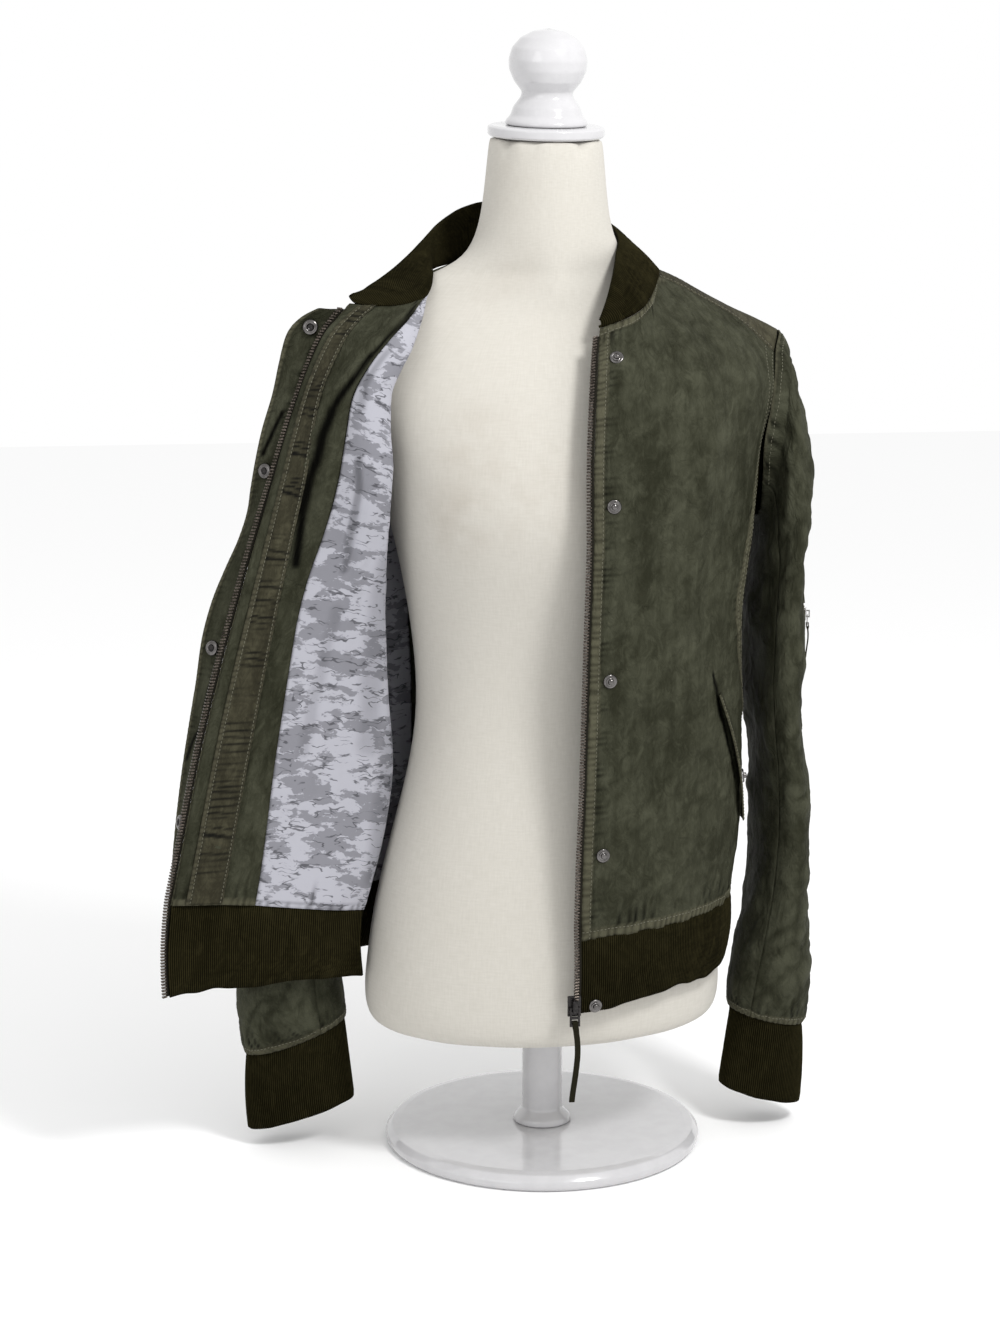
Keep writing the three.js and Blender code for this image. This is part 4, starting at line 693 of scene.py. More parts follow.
def dress(sheet, folds=(), crinkles=(), bands=(), shades=(), seed=0, deepest=2.0):
    """Raises a sheet by its wrinkles and gives the fields that its material reads, painted light and shade among them.
    """
    height = creased(sheet, folds, seed)
    fine = np.zeros_like(height)
    for size, amount, slant, stretch in crinkles:
        ridges = amount * (crinkle(sheet, size, slant, stretch, seed + int(size)) + 0.2)
        height = height + ridges
        fine += ridges * (size < 20)
    nearest = np.minimum(np.minimum(sheet.x, sheet.right), np.minimum(sheet.y, sheet.top))
    height = height * (0.1 + 0.9 * smooth_step(nearest, 0, 9))
    mask = np.zeros_like(height)
    shade = drawn(sheet, shades, seed)
    for side, width, lift, pucker, pitch, reach, start, end in bands:
        distance, run, share = edge_of(sheet, side)
        # Here folds is the painted shade of the seam's puckers and gathers.
        rise, here, folds = seam_band(distance, run, width, lift, pucker, pitch, reach, seed + int(width))
        limit = smooth_step(share, start - 0.02, start + 0.005) * (1 - smooth_step(share, end - 0.005, end + 0.02))
        height = height + rise * limit
        mask = np.maximum(mask, here * limit)
        shade = np.maximum(shade, folds * limit)
    # The height field is painted light and shade: the colour is made paler on raised folds and crinkles and darker in
    # hollows.
    tone = 0.25 * height + 0.6 * fine
    if deepest is not None:
        height = np.where(height < 0, -deepest * np.tanh(height / deepest), height)
    sheet.raise_by(height)
    return {"band": mask, "height": np.clip(0.5 + 0.3 * tone, 0, 1), "shade": np.clip(shade, 0, 1)}

# %% [markdown]
# The dress form is a padded, linen-covered torso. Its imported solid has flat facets, so a merged copy of it is made of
# four-sided faces and smoothed with a Subdivision Surface. Its map is the angle round the form times a mean radius,
# and the height, so the threads of the linen run level and upright.

# %% Dress form
FORM_GIRTH_RADIUS = 0.13


def merged_copy(node):
    mesh = bmesh.new()
    mesh.from_mesh(frame["nodes"][node].data)
    bmesh.ops.remove_doubles(mesh, verts=mesh.verts, dist=MERGE)
    return mesh


form = merged_copy("dress_form")
bmesh.ops.join_triangles(form, faces=form.faces, angle_face_threshold=0.6, angle_shape_threshold=0.9)
uv = form.loops.layers.uv.new("cloth")
for face in form.faces:
    middle = face.calc_center_median()
    home = math.atan2(middle.y, middle.x)
    for loop in face.loops:
        turn = (math.atan2(loop.vert.co.y, loop.vert.co.x) - home + math.pi) % (2 * math.pi) - math.pi
        loop[uv].uv = ((home + turn) * FORM_GIRTH_RADIUS, loop.vert.co.z)
form_data = bpy.data.meshes.new("linen_form")
form.to_mesh(form_data)
form.free()
linen_form = object_of(form_data, "linen_form", "linen", replaces=["dress_form"])
smooth = linen_form.modifiers.new("smooth", "SUBSURF")
smooth.levels = 2
smooth.render_levels = 2
print("form faces", len(form_data.polygons))

# %% [markdown]
# The cap, the knob and the stand are turned and lacquered. Each is a profile of radius and height, spun round its own
# axis, with arcs rounded by a bevel on the profile's corners. The cap and knob lean back with the form's neck.

# %% Turned pieces
TURNED_STEPS = 72


def turned(name, profile, round_by, base=(0, 0, 0), lean=0.0, node=None):
    mesh = bmesh.new()
    corners = [mesh.verts.new((radius * MM, 0, height * MM)) for radius, height in profile]
    edges = [mesh.edges.new(pair) for pair in zip(corners, corners[1:])]
    inner = [v for v in corners[1:-1]]
    bmesh.ops.bevel(mesh, geom=inner, offset=round_by * MM, segments=4, profile=0.5, affect="VERTICES", material=-1)
    bmesh.ops.spin(mesh, geom=mesh.verts[:] + mesh.edges[:], cent=(0, 0, 0), axis=(0, 0, 1), angle=2 * math.pi,
                   steps=TURNED_STEPS, use_merge=True)
    bmesh.ops.remove_doubles(mesh, verts=mesh.verts, dist=1e-6)
    bmesh.ops.recalc_face_normals(mesh, faces=mesh.faces)
    place = Matrix.Translation(Vector(base)) @ Matrix.Rotation(lean, 4, "X")
    bmesh.ops.transform(mesh, matrix=place, verts=mesh.verts)
    data = bpy.data.meshes.new(name)
    mesh.to_mesh(data)
    mesh.free()
    return object_of(data, name, "paint", replaces=[node])


FORM_TOP = [(v.co[:]) for v in frame["nodes"]["neck_plate"].data.vertices]
plate_points = np.array(FORM_TOP)
plate_middle = (plate_points.min(0) + plate_points.max(0)) / 2
PLATE_LEAN = math.radians(7)
print("plate", plate_points.min(0), plate_points.max(0))

FOOT_PROFILE = [(0, 0), (131, 0), (134, 3), (134, 8), (129, 13), (122, 14), (0, 14)]
turned("white_foot", FOOT_PROFILE, 1.2, node="stand_foot")
form_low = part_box("dress_form")[0][2] / MM
POLE_PROFILE = [(0, 14.3), (25, 14.3), (24, 19), (17, 26), (17, form_low - 8), (24, form_low - 3), (24, form_low - 0.3),
                (0, form_low - 0.3)]
turned("white_pole", POLE_PROFILE, 1.5, node="stand_pole")
PLATE_PROFILE = [(0, -2.6), (45, -2.6), (47, -1), (47, 5), (44.5, 6.4), (0, 6.4)]
KNOB_PROFILE = [(0, 6.7), (33, 6.7), (33, 9.7), (29, 14.2), (27, 20.7), (21, 28.7), (20.5, 32.7), (27, 40.7),
                (31, 49.7), (31.5, 57.7), (29, 66.7), (22, 74.7), (12, 79.7), (0, 81.7)]


def neck_place():
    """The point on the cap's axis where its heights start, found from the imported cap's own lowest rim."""
    points = plate_points
    up = Vector((0, -math.sin(PLATE_LEAN), math.cos(PLATE_LEAN)))
    heights = points @ np.array(up)
    middle = points.mean(0)
    low = np.array(points[heights < heights.min() + 1e-5]).mean(0)
    return Vector(low) + up * 2.6 * MM


neck = neck_place()
turned("white_cap", PLATE_PROFILE, 0.8, neck, PLATE_LEAN, "neck_plate")
turned("white_knob", KNOB_PROFILE, 1.5, neck, PLATE_LEAN, "finial")
print("neck at", [round(c, 4) for c in neck])

# %% [markdown]
# The table below lists the jacket's cloth panels as a maker cuts them. Each one names its side that shows, its wall,
# its listed wrinkles, and the stitched bands along its edges.

# %% The panels and their wrinkles
# folds: x, y, x, y, width and depth in mm, from the panel's low left corner as seen from its face. Ridges are above 0.
# crinkles: size in mm, height in mm, slant in degrees, how much longer than wide.
# bands: side, width, lift, pucker, pitch, reach, start, end, in mm and shares.
# shades: x, y, x, y, width and share in mm: lines of painted shade in deep creases and folds and in the pocket's mouth.
PANELS = {
    "front_left": dict(
        wall=1.3, toward=(0.3, -1, 0), finish="shell", slot="shell", step=2.4,
        folds=[
            (42, 260, 50, 420, 9, -2.6), (62, 250, 74, 430, 10, 2.8), (88, 290, 92, 420, 8, -2.4),
            (108, 250, 128, 410, 9, 2.2), (30, 150, 46, 250, 10, 1.8), (20, 380, 60, 455, 8, 1.6),
            (70, 100, 120, 170, 10, 2.2), (40, 90, 95, 100, 8, 1.5), (90, 170, 150, 220, 9, -1.8),
            (20, 200, 90, 190, 7, 1.3), (60, 60, 100, 20, 8, 1.8), (120, 120, 170, 60, 9, 1.6),
        ],
        crinkles=[(24, 0.5, 75, 2.2), (13, 0.45, 40, 1.5), (7, 0.26, 20, 1.4)],
        bands=[("left", 8, 0.7, 0.5, 5.0, 9, 0, 1), ("low", 8, 0.8, 0.8, 8.5, 14, 0, 1),
               ("right", 15, 0.6, 0.5, 3.4, 6, 0, 0.77), ("top", 7, 0.7, 0.6, 6.0, 12, 0, 0.5)],
        shades=[(119, 203, 127, 172, 2.6, 1.0), (127, 172, 139, 140, 3.6, 1.0), (139, 140, 158, 108, 2.4, 1.0)],
    ),
    "front_right": dict(
        deepest=0.25, wall=1.3, toward=(0, 1, 0), finish="shell", slot="shell", step=2.6,
        folds=[(60, 120, 90, 300, 10, 2.2), (110, 80, 120, 260, 10, -1.6), (90, 320, 150, 420, 9, 2.0),
               (40, 60, 80, 90, 9, 1.8), (30, 220, 60, 380, 9, 1.8)],
        crinkles=[(24, 0.5, 75, 2.2), (13, 0.45, 40, 1.5), (7, 0.26, 20, 1.4)],
        bands=[("right", 8, 0.6, 0.4, 5.0, 9, 0, 1), ("low", 8, 0.7, 0.7, 8.5, 14, 0, 1),
               ("left", 11, 0.6, 0.4, 5.5, 8, 0, 1), ("top", 7, 0.5, 0.5, 6.0, 12, 0, 1)],
    ),
    "back": dict(
        wall=1.3, toward=(0, 1, 0), finish="shell", slot="shell", step=2.7,
        folds=[
            (120, 60, 150, 240, 11, 2.4), (180, 40, 190, 200, 10, -1.8), (240, 60, 225, 260, 11, 2.2),
            (90, 330, 210, 370, 9, 2.0), (200, 380, 330, 350, 9, 1.8), (60, 120, 95, 250, 10, 1.8),
            (290, 90, 300, 240, 10, 2.2), (150, 290, 260, 300, 10, -1.6), (330, 140, 345, 300, 9, 1.6),
        ],
        crinkles=[(24, 0.5, 75, 2.2), (13, 0.45, 40, 1.5), (7.5, 0.26, 20, 1.4)],
        bands=[("low", 8, 0.8, 0.8, 8.5, 16, 0, 1), ("left", 8, 0.5, 0.4, 5.5, 8, 0, 1),
               ("right", 8, 0.5, 0.4, 5.5, 8, 0, 1), ("top", 7, 0.5, 0.5, 6.0, 10, 0.3, 0.7)],
    ),
    "side_panel_left": dict(
        wall=1.3, toward=(1, 0, 0), finish="gusset", slot="gusset", step=2.6,
        folds=[(20, 40, 30, 160, 9, 1.5), (45, 90, 60, 210, 8, 1.2)], crinkles=[(30, 0.5, 80, 2.5)],
        bands=[("low", 7, 0.4, 0.4, 7.0, 9, 0, 1)],
    ),
    "side_panel_right": dict(
        deepest=0.25, wall=1.3, toward=(-1, 0, 0), finish="gusset", slot="gusset", step=2.6,
        folds=[(20, 40, 30, 160, 9, 1.5), (45, 90, 60, 210, 8, 1.2)], crinkles=[(30, 0.5, 80, 2.5)],
        bands=[("low", 7, 0.4, 0.4, 7.0, 9, 0, 1)],
    ),
    "lining_right": dict(
        wall=1.0, toward=(0, -1, 0), finish="lining", slot="lining", step=2.4,
        folds=[(20, 330, 34, 180, 7, -1.8), (32, 330, 46, 190, 7, 2.0), (14, 60, 40, 140, 9, 1.6),
               (60, 40, 52, 150, 8, 1.6), (80, 60, 84, 200, 8, 1.4)],
        crinkles=[(22, 0.4, 75, 2.2), (9, 0.15, 30, 1.8)],
        shades=[(14, 380, 26, 285, 3.5, 0.5), (62, 300, 78, 140, 11, 0.28), (30, 250, 22, 130, 6, 0.22),
                (96, 150, 100, 30, 9, 0.3), (6, 470, 10, 420, 4, 0.3)],
        bands=[("low", 4, 0.2, 0.9, 9.0, 14, 0, 1)],
    ),
    "lining_side": dict(
        wall=1.0, toward=(0.7, -0.7, 0), finish="lining", slot="lining", step=2.4,
        folds=[(10, 40, 16, 160, 7, 1.2)], crinkles=[(20, 0.35, 75, 2.2)], bands=[],
    ),
    "lining_back": dict(
        wall=1.0, toward=(0, -1, 0), finish="lining", slot="lining", step=2.6,
        folds=[(14, 60, 20, 260, 8, 1.4), (40, 160, 34, 330, 8, 1.4)], crinkles=[(20, 0.35, 75, 2.2)],
        bands=[("low", 4, 0.2, 0.6, 9.0, 12, 0, 1)],
    ),
    "facing_right": dict(
        wall=1.0, toward=(0, -1, 0), finish="shell", slot="shell", step=2.3,
        folds=[(53, 530, 40, 455, 4, 1.8), (42, 465, 26, 400, 4, 2.4), (27, 415, 20, 320, 4, 2.8), (46, 430, 38, 310, 5, 2.4),
                (14, 270, 34, 180, 7, 2.0), (34, 240, 46, 150, 6, -1.8), (12, 120, 24, 40, 7, 1.8), (34, 110, 26, 30, 7, 1.5)],
        crinkles=[(18, 0.6, 80, 2.2), (8, 0.34, 40, 1.6)],
        shades=[(60, 540, 49, 462, 2.2, 1.0), (49, 462, 35, 411, 3.4, 1.0), (35, 411, 30, 328, 5.0, 1.0),
                (30, 328, 36, 285, 4.2, 1.0), (12, 255, 20, 215, 1.6, 0.7), (42, 120, 36, 60, 1.5, 0.6)],
        bands=[("low", 5, 0.3, 0.7, 8.0, 12, 0, 1)],
    ),
    "facing_band": dict(
        wall=1.0, toward=(0, -1, 0), finish="trim", slot="trim", step=1.6,
        folds=[], crinkles=[(14, 0.3, 80, 2.0)],
        bands=[("left", 4, 0.3, 0.8, 5.2, 34, 0, 1), ("right", 2, 0.3, 0.4, 5.2, 5, 0, 1)],
    ),
    "shoulder_band_left": dict(
        wall=1.3, toward=(0, 0, 1), up=(0, 1, 0), finish="trim", slot="trim", step=1.8,
        folds=[], crinkles=[(16, 0.3, 10, 1.5)],
        bands=[("low", 2, 0.3, 0.5, 5.0, 6, 0, 1), ("top", 2, 0.3, 0.5, 5.0, 6, 0, 1)],
    ),
    "shoulder_band_right": dict(
        wall=1.3, toward=(0, 0, 1), up=(0, 1, 0), finish="trim", slot="trim", step=1.8,
        folds=[], crinkles=[(16, 0.3, 10, 1.5)],
        bands=[("low", 2, 0.3, 0.5, 5.0, 6, 0, 1), ("top", 2, 0.3, 0.5, 5.0, 6, 0, 1)],
    ),
    "sleeve_upper_left": dict(
        wall=1.3, toward=(1, -0.3, 0), finish="shell", slot="shell", step=2.4,
        folds=[(10, 420, 70, 500, 10, 2.2), (30, 300, 90, 340, 11, 2.6), (20, 250, 80, 240, 10, -2.0),
               (10, 200, 90, 190, 10, 2.4), (20, 130, 100, 150, 10, 2.2), (30, 60, 80, 50, 9, 2.0),
               (90, 380, 140, 330, 10, 2.2), (60, 560, 110, 470, 10, 2.0), (100, 110, 150, 90, 10, 2.0)],
        crinkles=[(30, 1.6, 25, 1.7), (15, 0.9, 55, 1.5), (8, 0.36, 20, 1.4)],
        bands=[("low", 7, 0.6, 0.8, 7.5, 14, 0, 1), ("top", 2, 0.4, 0.6, 7.5, 14, 0, 1)],
    ),
    "sleeve_upper_right": dict(
        wall=1.3, toward=(-1, -0.3, 0), finish="shell", slot="shell", step=2.6,
        folds=[(10, 420, 70, 500, 10, 2.2), (30, 300, 90, 340, 11, 2.6), (20, 250, 80, 240, 10, -2.0),
               (10, 200, 90, 190, 10, 2.4), (20, 130, 100, 150, 10, 2.2), (30, 60, 80, 50, 9, 2.0)],
        crinkles=[(30, 1.6, 25, 1.7), (15, 0.9, 55, 1.5), (8, 0.36, 20, 1.4)],
        bands=[("low", 7, 0.6, 0.8, 7.5, 14, 0, 1), ("top", 2, 0.4, 0.6, 7.5, 14, 0, 1)],
    ),
    "sleeve_under_left": dict(
        wall=1.3, toward=(-1, 0, 0), finish="shell", slot="shell", step=2.8,
        folds=[(5, 300, 60, 330, 10, 1.6), (10, 200, 60, 190, 10, 1.8), (20, 120, 60, 140, 9, 1.5)],
        crinkles=[(30, 1.2, 25, 1.7), (15, 0.7, 55, 1.5), (8, 0.3, 20, 1.4)],
        bands=[("low", 7, 0.5, 0.7, 7.5, 12, 0, 1)],
    ),
    "sleeve_under_right": dict(
        wall=1.3, toward=(1, 0, 0), finish="shell", slot="shell", step=2.8,
        folds=[(5, 300, 60, 330, 10, 1.6), (10, 200, 60, 190, 10, 1.8), (20, 120, 60, 140, 9, 1.5)],
        crinkles=[(30, 1.2, 25, 1.7), (15, 0.7, 55, 1.5), (8, 0.3, 20, 1.4)],
        bands=[("low", 7, 0.5, 0.7, 7.5, 12, 0, 1)],
    ),
    "storm_flap": dict(
        wall=1.3, toward=(0, -1, 0), finish="shell", slot="shell", step=1.6,
        folds=[(8, 500, 14, 420, 5, 1.4), (6, 300, 16, 220, 5, 1.2)], crinkles=[(16, 0.5, 80, 2.0), (7, 0.25, 30, 1.6)],
        shades=[(13, 480, 6, 445, 2.2, 1.0), (20, 262, 13, 236, 2.0, 0.9), (11, 215, 4, 192, 2.0, 0.9)],
        bands=[("right", 5, 0.4, 0.5, 4.8, 6, 0, 1), ("left", 3, 0.3, 0.3, 4.8, 5, 0, 1)],
    ),
    "pocket_welt_left": dict(
        wall=1.2, toward=(0.5, -1, 0), finish="shell", slot="shell", step=1.6,
        folds=[], crinkles=[(14, 0.3, 80, 2.0)], bands=[("left", 3, 0.2, 0.3, 5.0, 4, 0, 1)],
    ),
    "pocket_welt_right": dict(
        wall=1.2, toward=(0, 1, 0), finish="shell", slot="shell", step=1.6,
        folds=[], crinkles=[(14, 0.3, 80, 2.0)], bands=[("right", 3, 0.2, 0.3, 5.0, 4, 0, 1)],
    ),
    "sleeve_pocket": dict(
        wall=1.0, toward=(1, -0.5, 0), finish="shell", slot="shell", step=1.8,
        folds=[(10, 20, 40, 70, 8, 1.2)], crinkles=[(16, 0.4, 60, 2.0)],
        bands=[("left", 4, 0.3, 0.3, 5.0, 5, 0, 1), ("right", 4, 0.3, 0.3, 5.0, 5, 0, 1),
               ("low", 4, 0.3, 0.3, 5.0, 5, 0, 1), ("top", 4, 0.3, 0.3, 5.0, 5, 0, 1)],
    ),
    "sleeve_zip_cover": dict(
        wall=1.3, toward=(1, -0.5, 0), finish="shell", slot="shell", step=1.2,
        folds=[], crinkles=[(12, 0.3, 60, 2.0)], bands=[("top", 3, 0.2, 0.2, 4.5, 4, 0, 1)],
    ),
}
NEIGHBOURS = {
    "lining_right": "front_right", "facing_right": "front_right", "facing_band": "facing_right",
    "lining_side": "side_panel_right", "lining_back": "back", "storm_flap": "front_right",
    "pocket_welt_left": "front_left", "pocket_welt_right": "front_right", "sleeve_pocket": "sleeve_upper_left",
    "sleeve_zip_cover": "sleeve_pocket",
}
print("panels", len(PANELS))

# %% [markdown]
# Each panel's cut is what the smooth panel measures before any wrinkle is added: its widest row, its longest column
# and its area, which are printed.

# %% Panels
def cut_of(sheet):
    width, length = max(sheet.x[:, -1].max(), 10.0), sheet.y[-1].max()
    across, along = np.diff(sheet.points, axis=1)[:-1], np.diff(sheet.points, axis=0)[:, :-1]
    area = np.linalg.norm(np.cross(across, along), axis=2).sum()
    area = min(max(area, 0.3 * width * length * 1e-6), width * length * 1e-6)
    return (round(width * MM, 3), round(length * MM, 3)), round(area, 5)


def reach_out(points, low=0.0, top=0.0, left=0.0, right=0.0):
    """Moves the four edges of a grid of points outwards in its own surface, by so many mm each, to close its seams."""
    for edge, inner, amount in ((points[0], points[2], low), (points[-1], points[-3], top),
                                (points[:, 0], points[:, 2], left), (points[:, -1], points[:, -3], right)):
        way = edge - inner
        edge += way / np.linalg.norm(way, axis=1, keepdims=True) * (np.asarray(amount) * MM)[..., None]


def is_cloth(piece, cut):
    flat, area = cut
    area = min(area, flat[0] * flat[1])
    print("cut", piece.name, [round(side / MM) for side in flat], "mm,", round(area * 1e4), "square cm")


sheets = {}
cloth_pieces = {}
for name, panel in PANELS.items():
    sheet = Sheet(net_of(name, panel["wall"], panel["toward"], panel.get("up", (0, 0, 1))), panel["step"])
    cut = cut_of(sheet)
    room = panel.get("deepest", 0.25 if name in NEIGHBOURS else 2.0)
    fields = dress(sheet, panel["folds"], panel["crinkles"], panel["bands"], panel.get("shades", ()),
                   seed=len(sheets) * 11, deepest=room)
    if name not in NEIGHBOURS:
        reach_out(sheet.points, 0.5, 0.5, 0.5, 0.5)
    piece = cloth_object("cloth_" + name, sheet, panel["finish"], panel["wall"], fields, [name])
    is_cloth(piece, cut)
    sheets[name] = sheet
    cloth_pieces[name] = piece

# %% [markdown]
# The hem, collar and cuffs are knitted in ribs. A real rib is a column of stitches that stands up from the next one,
# so these pieces get true ribs: round ridges 1.8 mm apart, which stretch apart a little where the band is pulled.

# %% Ribbed bands
RIB_PITCH = 1.8
RIB_DEPTH = 0.36
SAMPLES_A_RIB = 4


def ring_net(node, thickness):
    """The outer net of a tube that is closed all round, such as a cuff, with its first column again at the end."""
    mesh, sides = open_sides(node, thickness)
    centre = sum((v.co for v in mesh.verts), Vector()) / len(mesh.verts)
    side = max(sides, key=lambda verts: sum(v.normal.dot((v.co - centre).normalized()) for v in verts))
    border = [v for v in side if v.is_boundary]
    middle = sum((v.co.z for v in side), 0.0) / len(side)
    loop = [min(border, key=lambda v: v.co.z)]
    while True:
        ahead = [e.other_vert(loop[-1]) for e in loop[-1].link_edges if e.is_boundary]
        fresh = [v for v in ahead if v not in loop]
        if not fresh:
            break
        loop.append(fresh[0])
    used = set()
    pairs = list(zip(loop, loop[1:] + loop[:1]))
    lean = 0
    for first, second in pairs:
        face = next(f for f in first.link_faces if second in f.verts)
        third = next(v for v in face.verts if v not in (first, second))
        lean += (third.co - first.co).length - (third.co - second.co).length
    net = np.array([[v.co[:] for v in row] for row in rows_of(loop, True, lean < 0)])
    mesh.free()
    around = np.cross(np.diff(net, axis=1)[:-1], np.diff(net, axis=0)[:, :-1])
    if (around * (net[:-1, :-1] - np.array(centre))).sum() < 0:
        net = net[:, ::-1]
    return np.concatenate([net, net[:, :1]], axis=1)


def out_from_middle(node):
    """The middle of the box of an open band that goes nearly all round the body, such as the hem."""
    low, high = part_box(node)
    mesh, sides = open_sides(node, 2.6)
    centre = Vector(((low[0] + high[0]) / 2, (low[1] + high[1]) / 2, (low[2] + high[2]) / 2))
    mesh.free()
    return centre


def band_net(node, thickness):
    mesh, sides = open_sides(node, thickness)
    centre = out_from_middle(node)
    side = max(sides, key=lambda verts: sum(v.normal.dot((v.co - centre).normalized()) for v in verts))
    border = [v for v in side if v.is_boundary]
    corners = [v for v in border if len(v.link_edges) <= 3]
    loop = [corners[0]]
    while len(loop) < len(border):
        ahead = [e.other_vert(loop[-1]) for e in loop[-1].link_edges if e.is_boundary]
        loop.append(next(v for v in ahead if v not in loop))
    turns = [i for i, v in enumerate(loop) if v in corners] + [len(loop)]
    loop.append(loop[0])
    edges = sorted((loop[a:b + 1] for a, b in zip(turns, turns[1:])), key=len)[-2:]
    low = min(edges, key=lambda e: sum(v.co.z for v in e))
    net = np.array([[v.co[:] for v in row] for row in rows_of(list(low), False, len(low[0].link_faces) == 1)])
    mesh.free()
    around = np.cross(np.diff(net, axis=1)[:-1], np.diff(net, axis=0)[:, :-1])
    if (around * (net[:-1, :-1] - np.array(centre))).sum() < 0:
        net = net[:, ::-1]
    return net


def two_skins(name, sheet, back, fields, closed):
    """A thick knit: the ribbed face and a plain back, joined round their rims."""
    both = bmesh.new()
    both.from_mesh(cloth_mesh(name, sheet, sheet.points, fields))
    face_count = len(both.faces)
    both.from_mesh(cloth_mesh(name, sheet, back, fields))
    both.faces.ensure_lookup_table()
    bmesh.ops.reverse_faces(both, faces=both.faces[face_count:])
    if closed:
        bmesh.ops.remove_doubles(both, verts=both.verts, dist=MERGE)
    rims = [e for e in both.edges if e.is_boundary]
    if closed:
        middle = sum((e.verts[0].co.z for e in rims), 0.0) / len(rims)
        for rim in ([e for e in rims if e.verts[0].co.z < middle], [e for e in rims if e.verts[0].co.z >= middle]):
            bmesh.ops.bridge_loops(both, edges=rim)
    else:
        bmesh.ops.bridge_loops(both, edges=rims)
    data = bpy.data.meshes.new(name)
    both.to_mesh(data)
    both.free()
    return data


def ribbed(name, net, wall, wave, closed=False, drop=0.0, flutter=0.0, rise=0.0, sag=0.0):
    sheet = Sheet(net, RIB_PITCH / SAMPLES_A_RIB, 5.0)
    cut = cut_of(sheet)
    down = sheet.points[:1] - sheet.points[2:3]
    down /= np.linalg.norm(down, axis=2, keepdims=True)
    far = sheet.right if sheet.points[0, -1, 0] < sheet.points[0, 0, 0] else sheet.x
    lower = drop + sag * (1 - smooth_step(far, 50, 130)) - flutter * (lattice_noise(sheet.x / 31, sheet.y * 0, 8) + 0.5 * lattice_noise(sheet.x / 13, sheet.y * 0, 9))
    sheet.points += down * (lower * (1 - smooth_step(sheet.y, 0, 14 if flutter else 5)) * MM)[..., None]
    reach_out(sheet.points, top=rise)
    back = sheet.points - sheet.normal * wall * MM
    mean = sheet.x * (sheet.x[:, -1].mean() / np.maximum(sheet.x[:, -1:], 1e-9))
    ribs = RIB_DEPTH * np.cos(2 * np.pi * mean / RIB_PITCH)
    pulls = lattice_noise(mean / 9, sheet.y / 30, 5) * 0.35 + lattice_noise(mean / 27, sheet.y / 60, 6) * wave
    edge = smooth_step(np.minimum(sheet.y, sheet.top), 0, 4)
    if closed:
        pulls = pulls * smooth_step(np.minimum(sheet.x, sheet.right), 0, 8)
    sheet.raise_by(ribs + pulls * edge - 0.3 * (1 - edge))
    # The height field paints light on the ribs' crests and shade between them.
    fields = {"band": np.zeros_like(ribs), "height": 0.5 + 0.45 * ribs / RIB_DEPTH}
    data = two_skins("rib_" + name, sheet, back, fields, closed)
    piece = object_of(data, "rib_" + name, "rib", replaces=[name])
    is_cloth(piece, cut)
    sheets[name] = sheet
    return piece


ribbed("hem_rib", band_net("hem_rib", 2.6), 2.2, 0.9,
       drop=-1.0, flutter=2.4, rise=1.2)
ribbed("collar_rib", band_net("collar_rib", 2.6), 2.2, 0.5, drop=2.0, sag=3.0)
for side in ("left", "right"):
    ribbed("cuff_" + side, ring_net("cuff_" + side, 2.6), 2.2, 0.8, True,
           flutter=0.8, rise=1.0)

# %% [markdown]
# A metal zip is a row of teeth crimped onto the corded edge of a tape. The tape is a narrow sheet along the front edge
# and the hem's end, and the teeth are small bevelled blocks, set one pitch apart along the same line.

# %% Zips
TOOTH_PITCH = 2.5
TOOTH_SIZE = (4.0, 1.5, 2.5)
TAPE_REACH = 2.6


def edge_line(sheet, side):
    inward = 4 if side == "left" else -5
    edge = 0 if side == "left" else -1
    place = sheet.points[:, edge]
    across = place - sheet.points[:, inward]
    across /= np.linalg.norm(across, axis=1, keepdims=True)
    return place, across, sheet.normal[:, edge]


def chain_line(side):
    end = "left" if side == "left" else "right"
    hem = edge_line(sheets["hem_rib"], end)
    front = edge_line(sheets["front_" + side], end)
    place, across, out = (np.concatenate([low, high[2:-3]]) for low, high in zip(hem, front))
    for _ in range(6):
        for line in (place, across, out):
            line[1:-1] = 0.25 * line[:-2] + 0.5 * line[1:-1] + 0.25 * line[2:]
    steps = np.linalg.norm(np.diff(place, axis=0), axis=1)
    reach = np.concatenate([[0], np.cumsum(steps)]) / MM
    places = np.arange(1.0, reach[-1], TOOTH_PITCH)
    lines = [np.stack([np.interp(places, reach, line[:, k]) for k in range(3)], 1) for line in (place, across, out)]
    return lines


def place_blocks(mesh, centres, across, out, size):
    for centre, side_way, outward in zip(centres, across, out):
        x = Vector(side_way).normalized()
        z = (Vector(outward) - x * x.dot(Vector(outward))).normalized()
        y = z.cross(x)
        turn = Matrix((x, y, z)).transposed().to_4x4()
        matrix = Matrix.Translation(Vector(centre)) @ turn @ Matrix.Diagonal((*[s * MM for s in size], 1))
        bmesh.ops.create_cube(mesh, size=1.0, matrix=matrix)


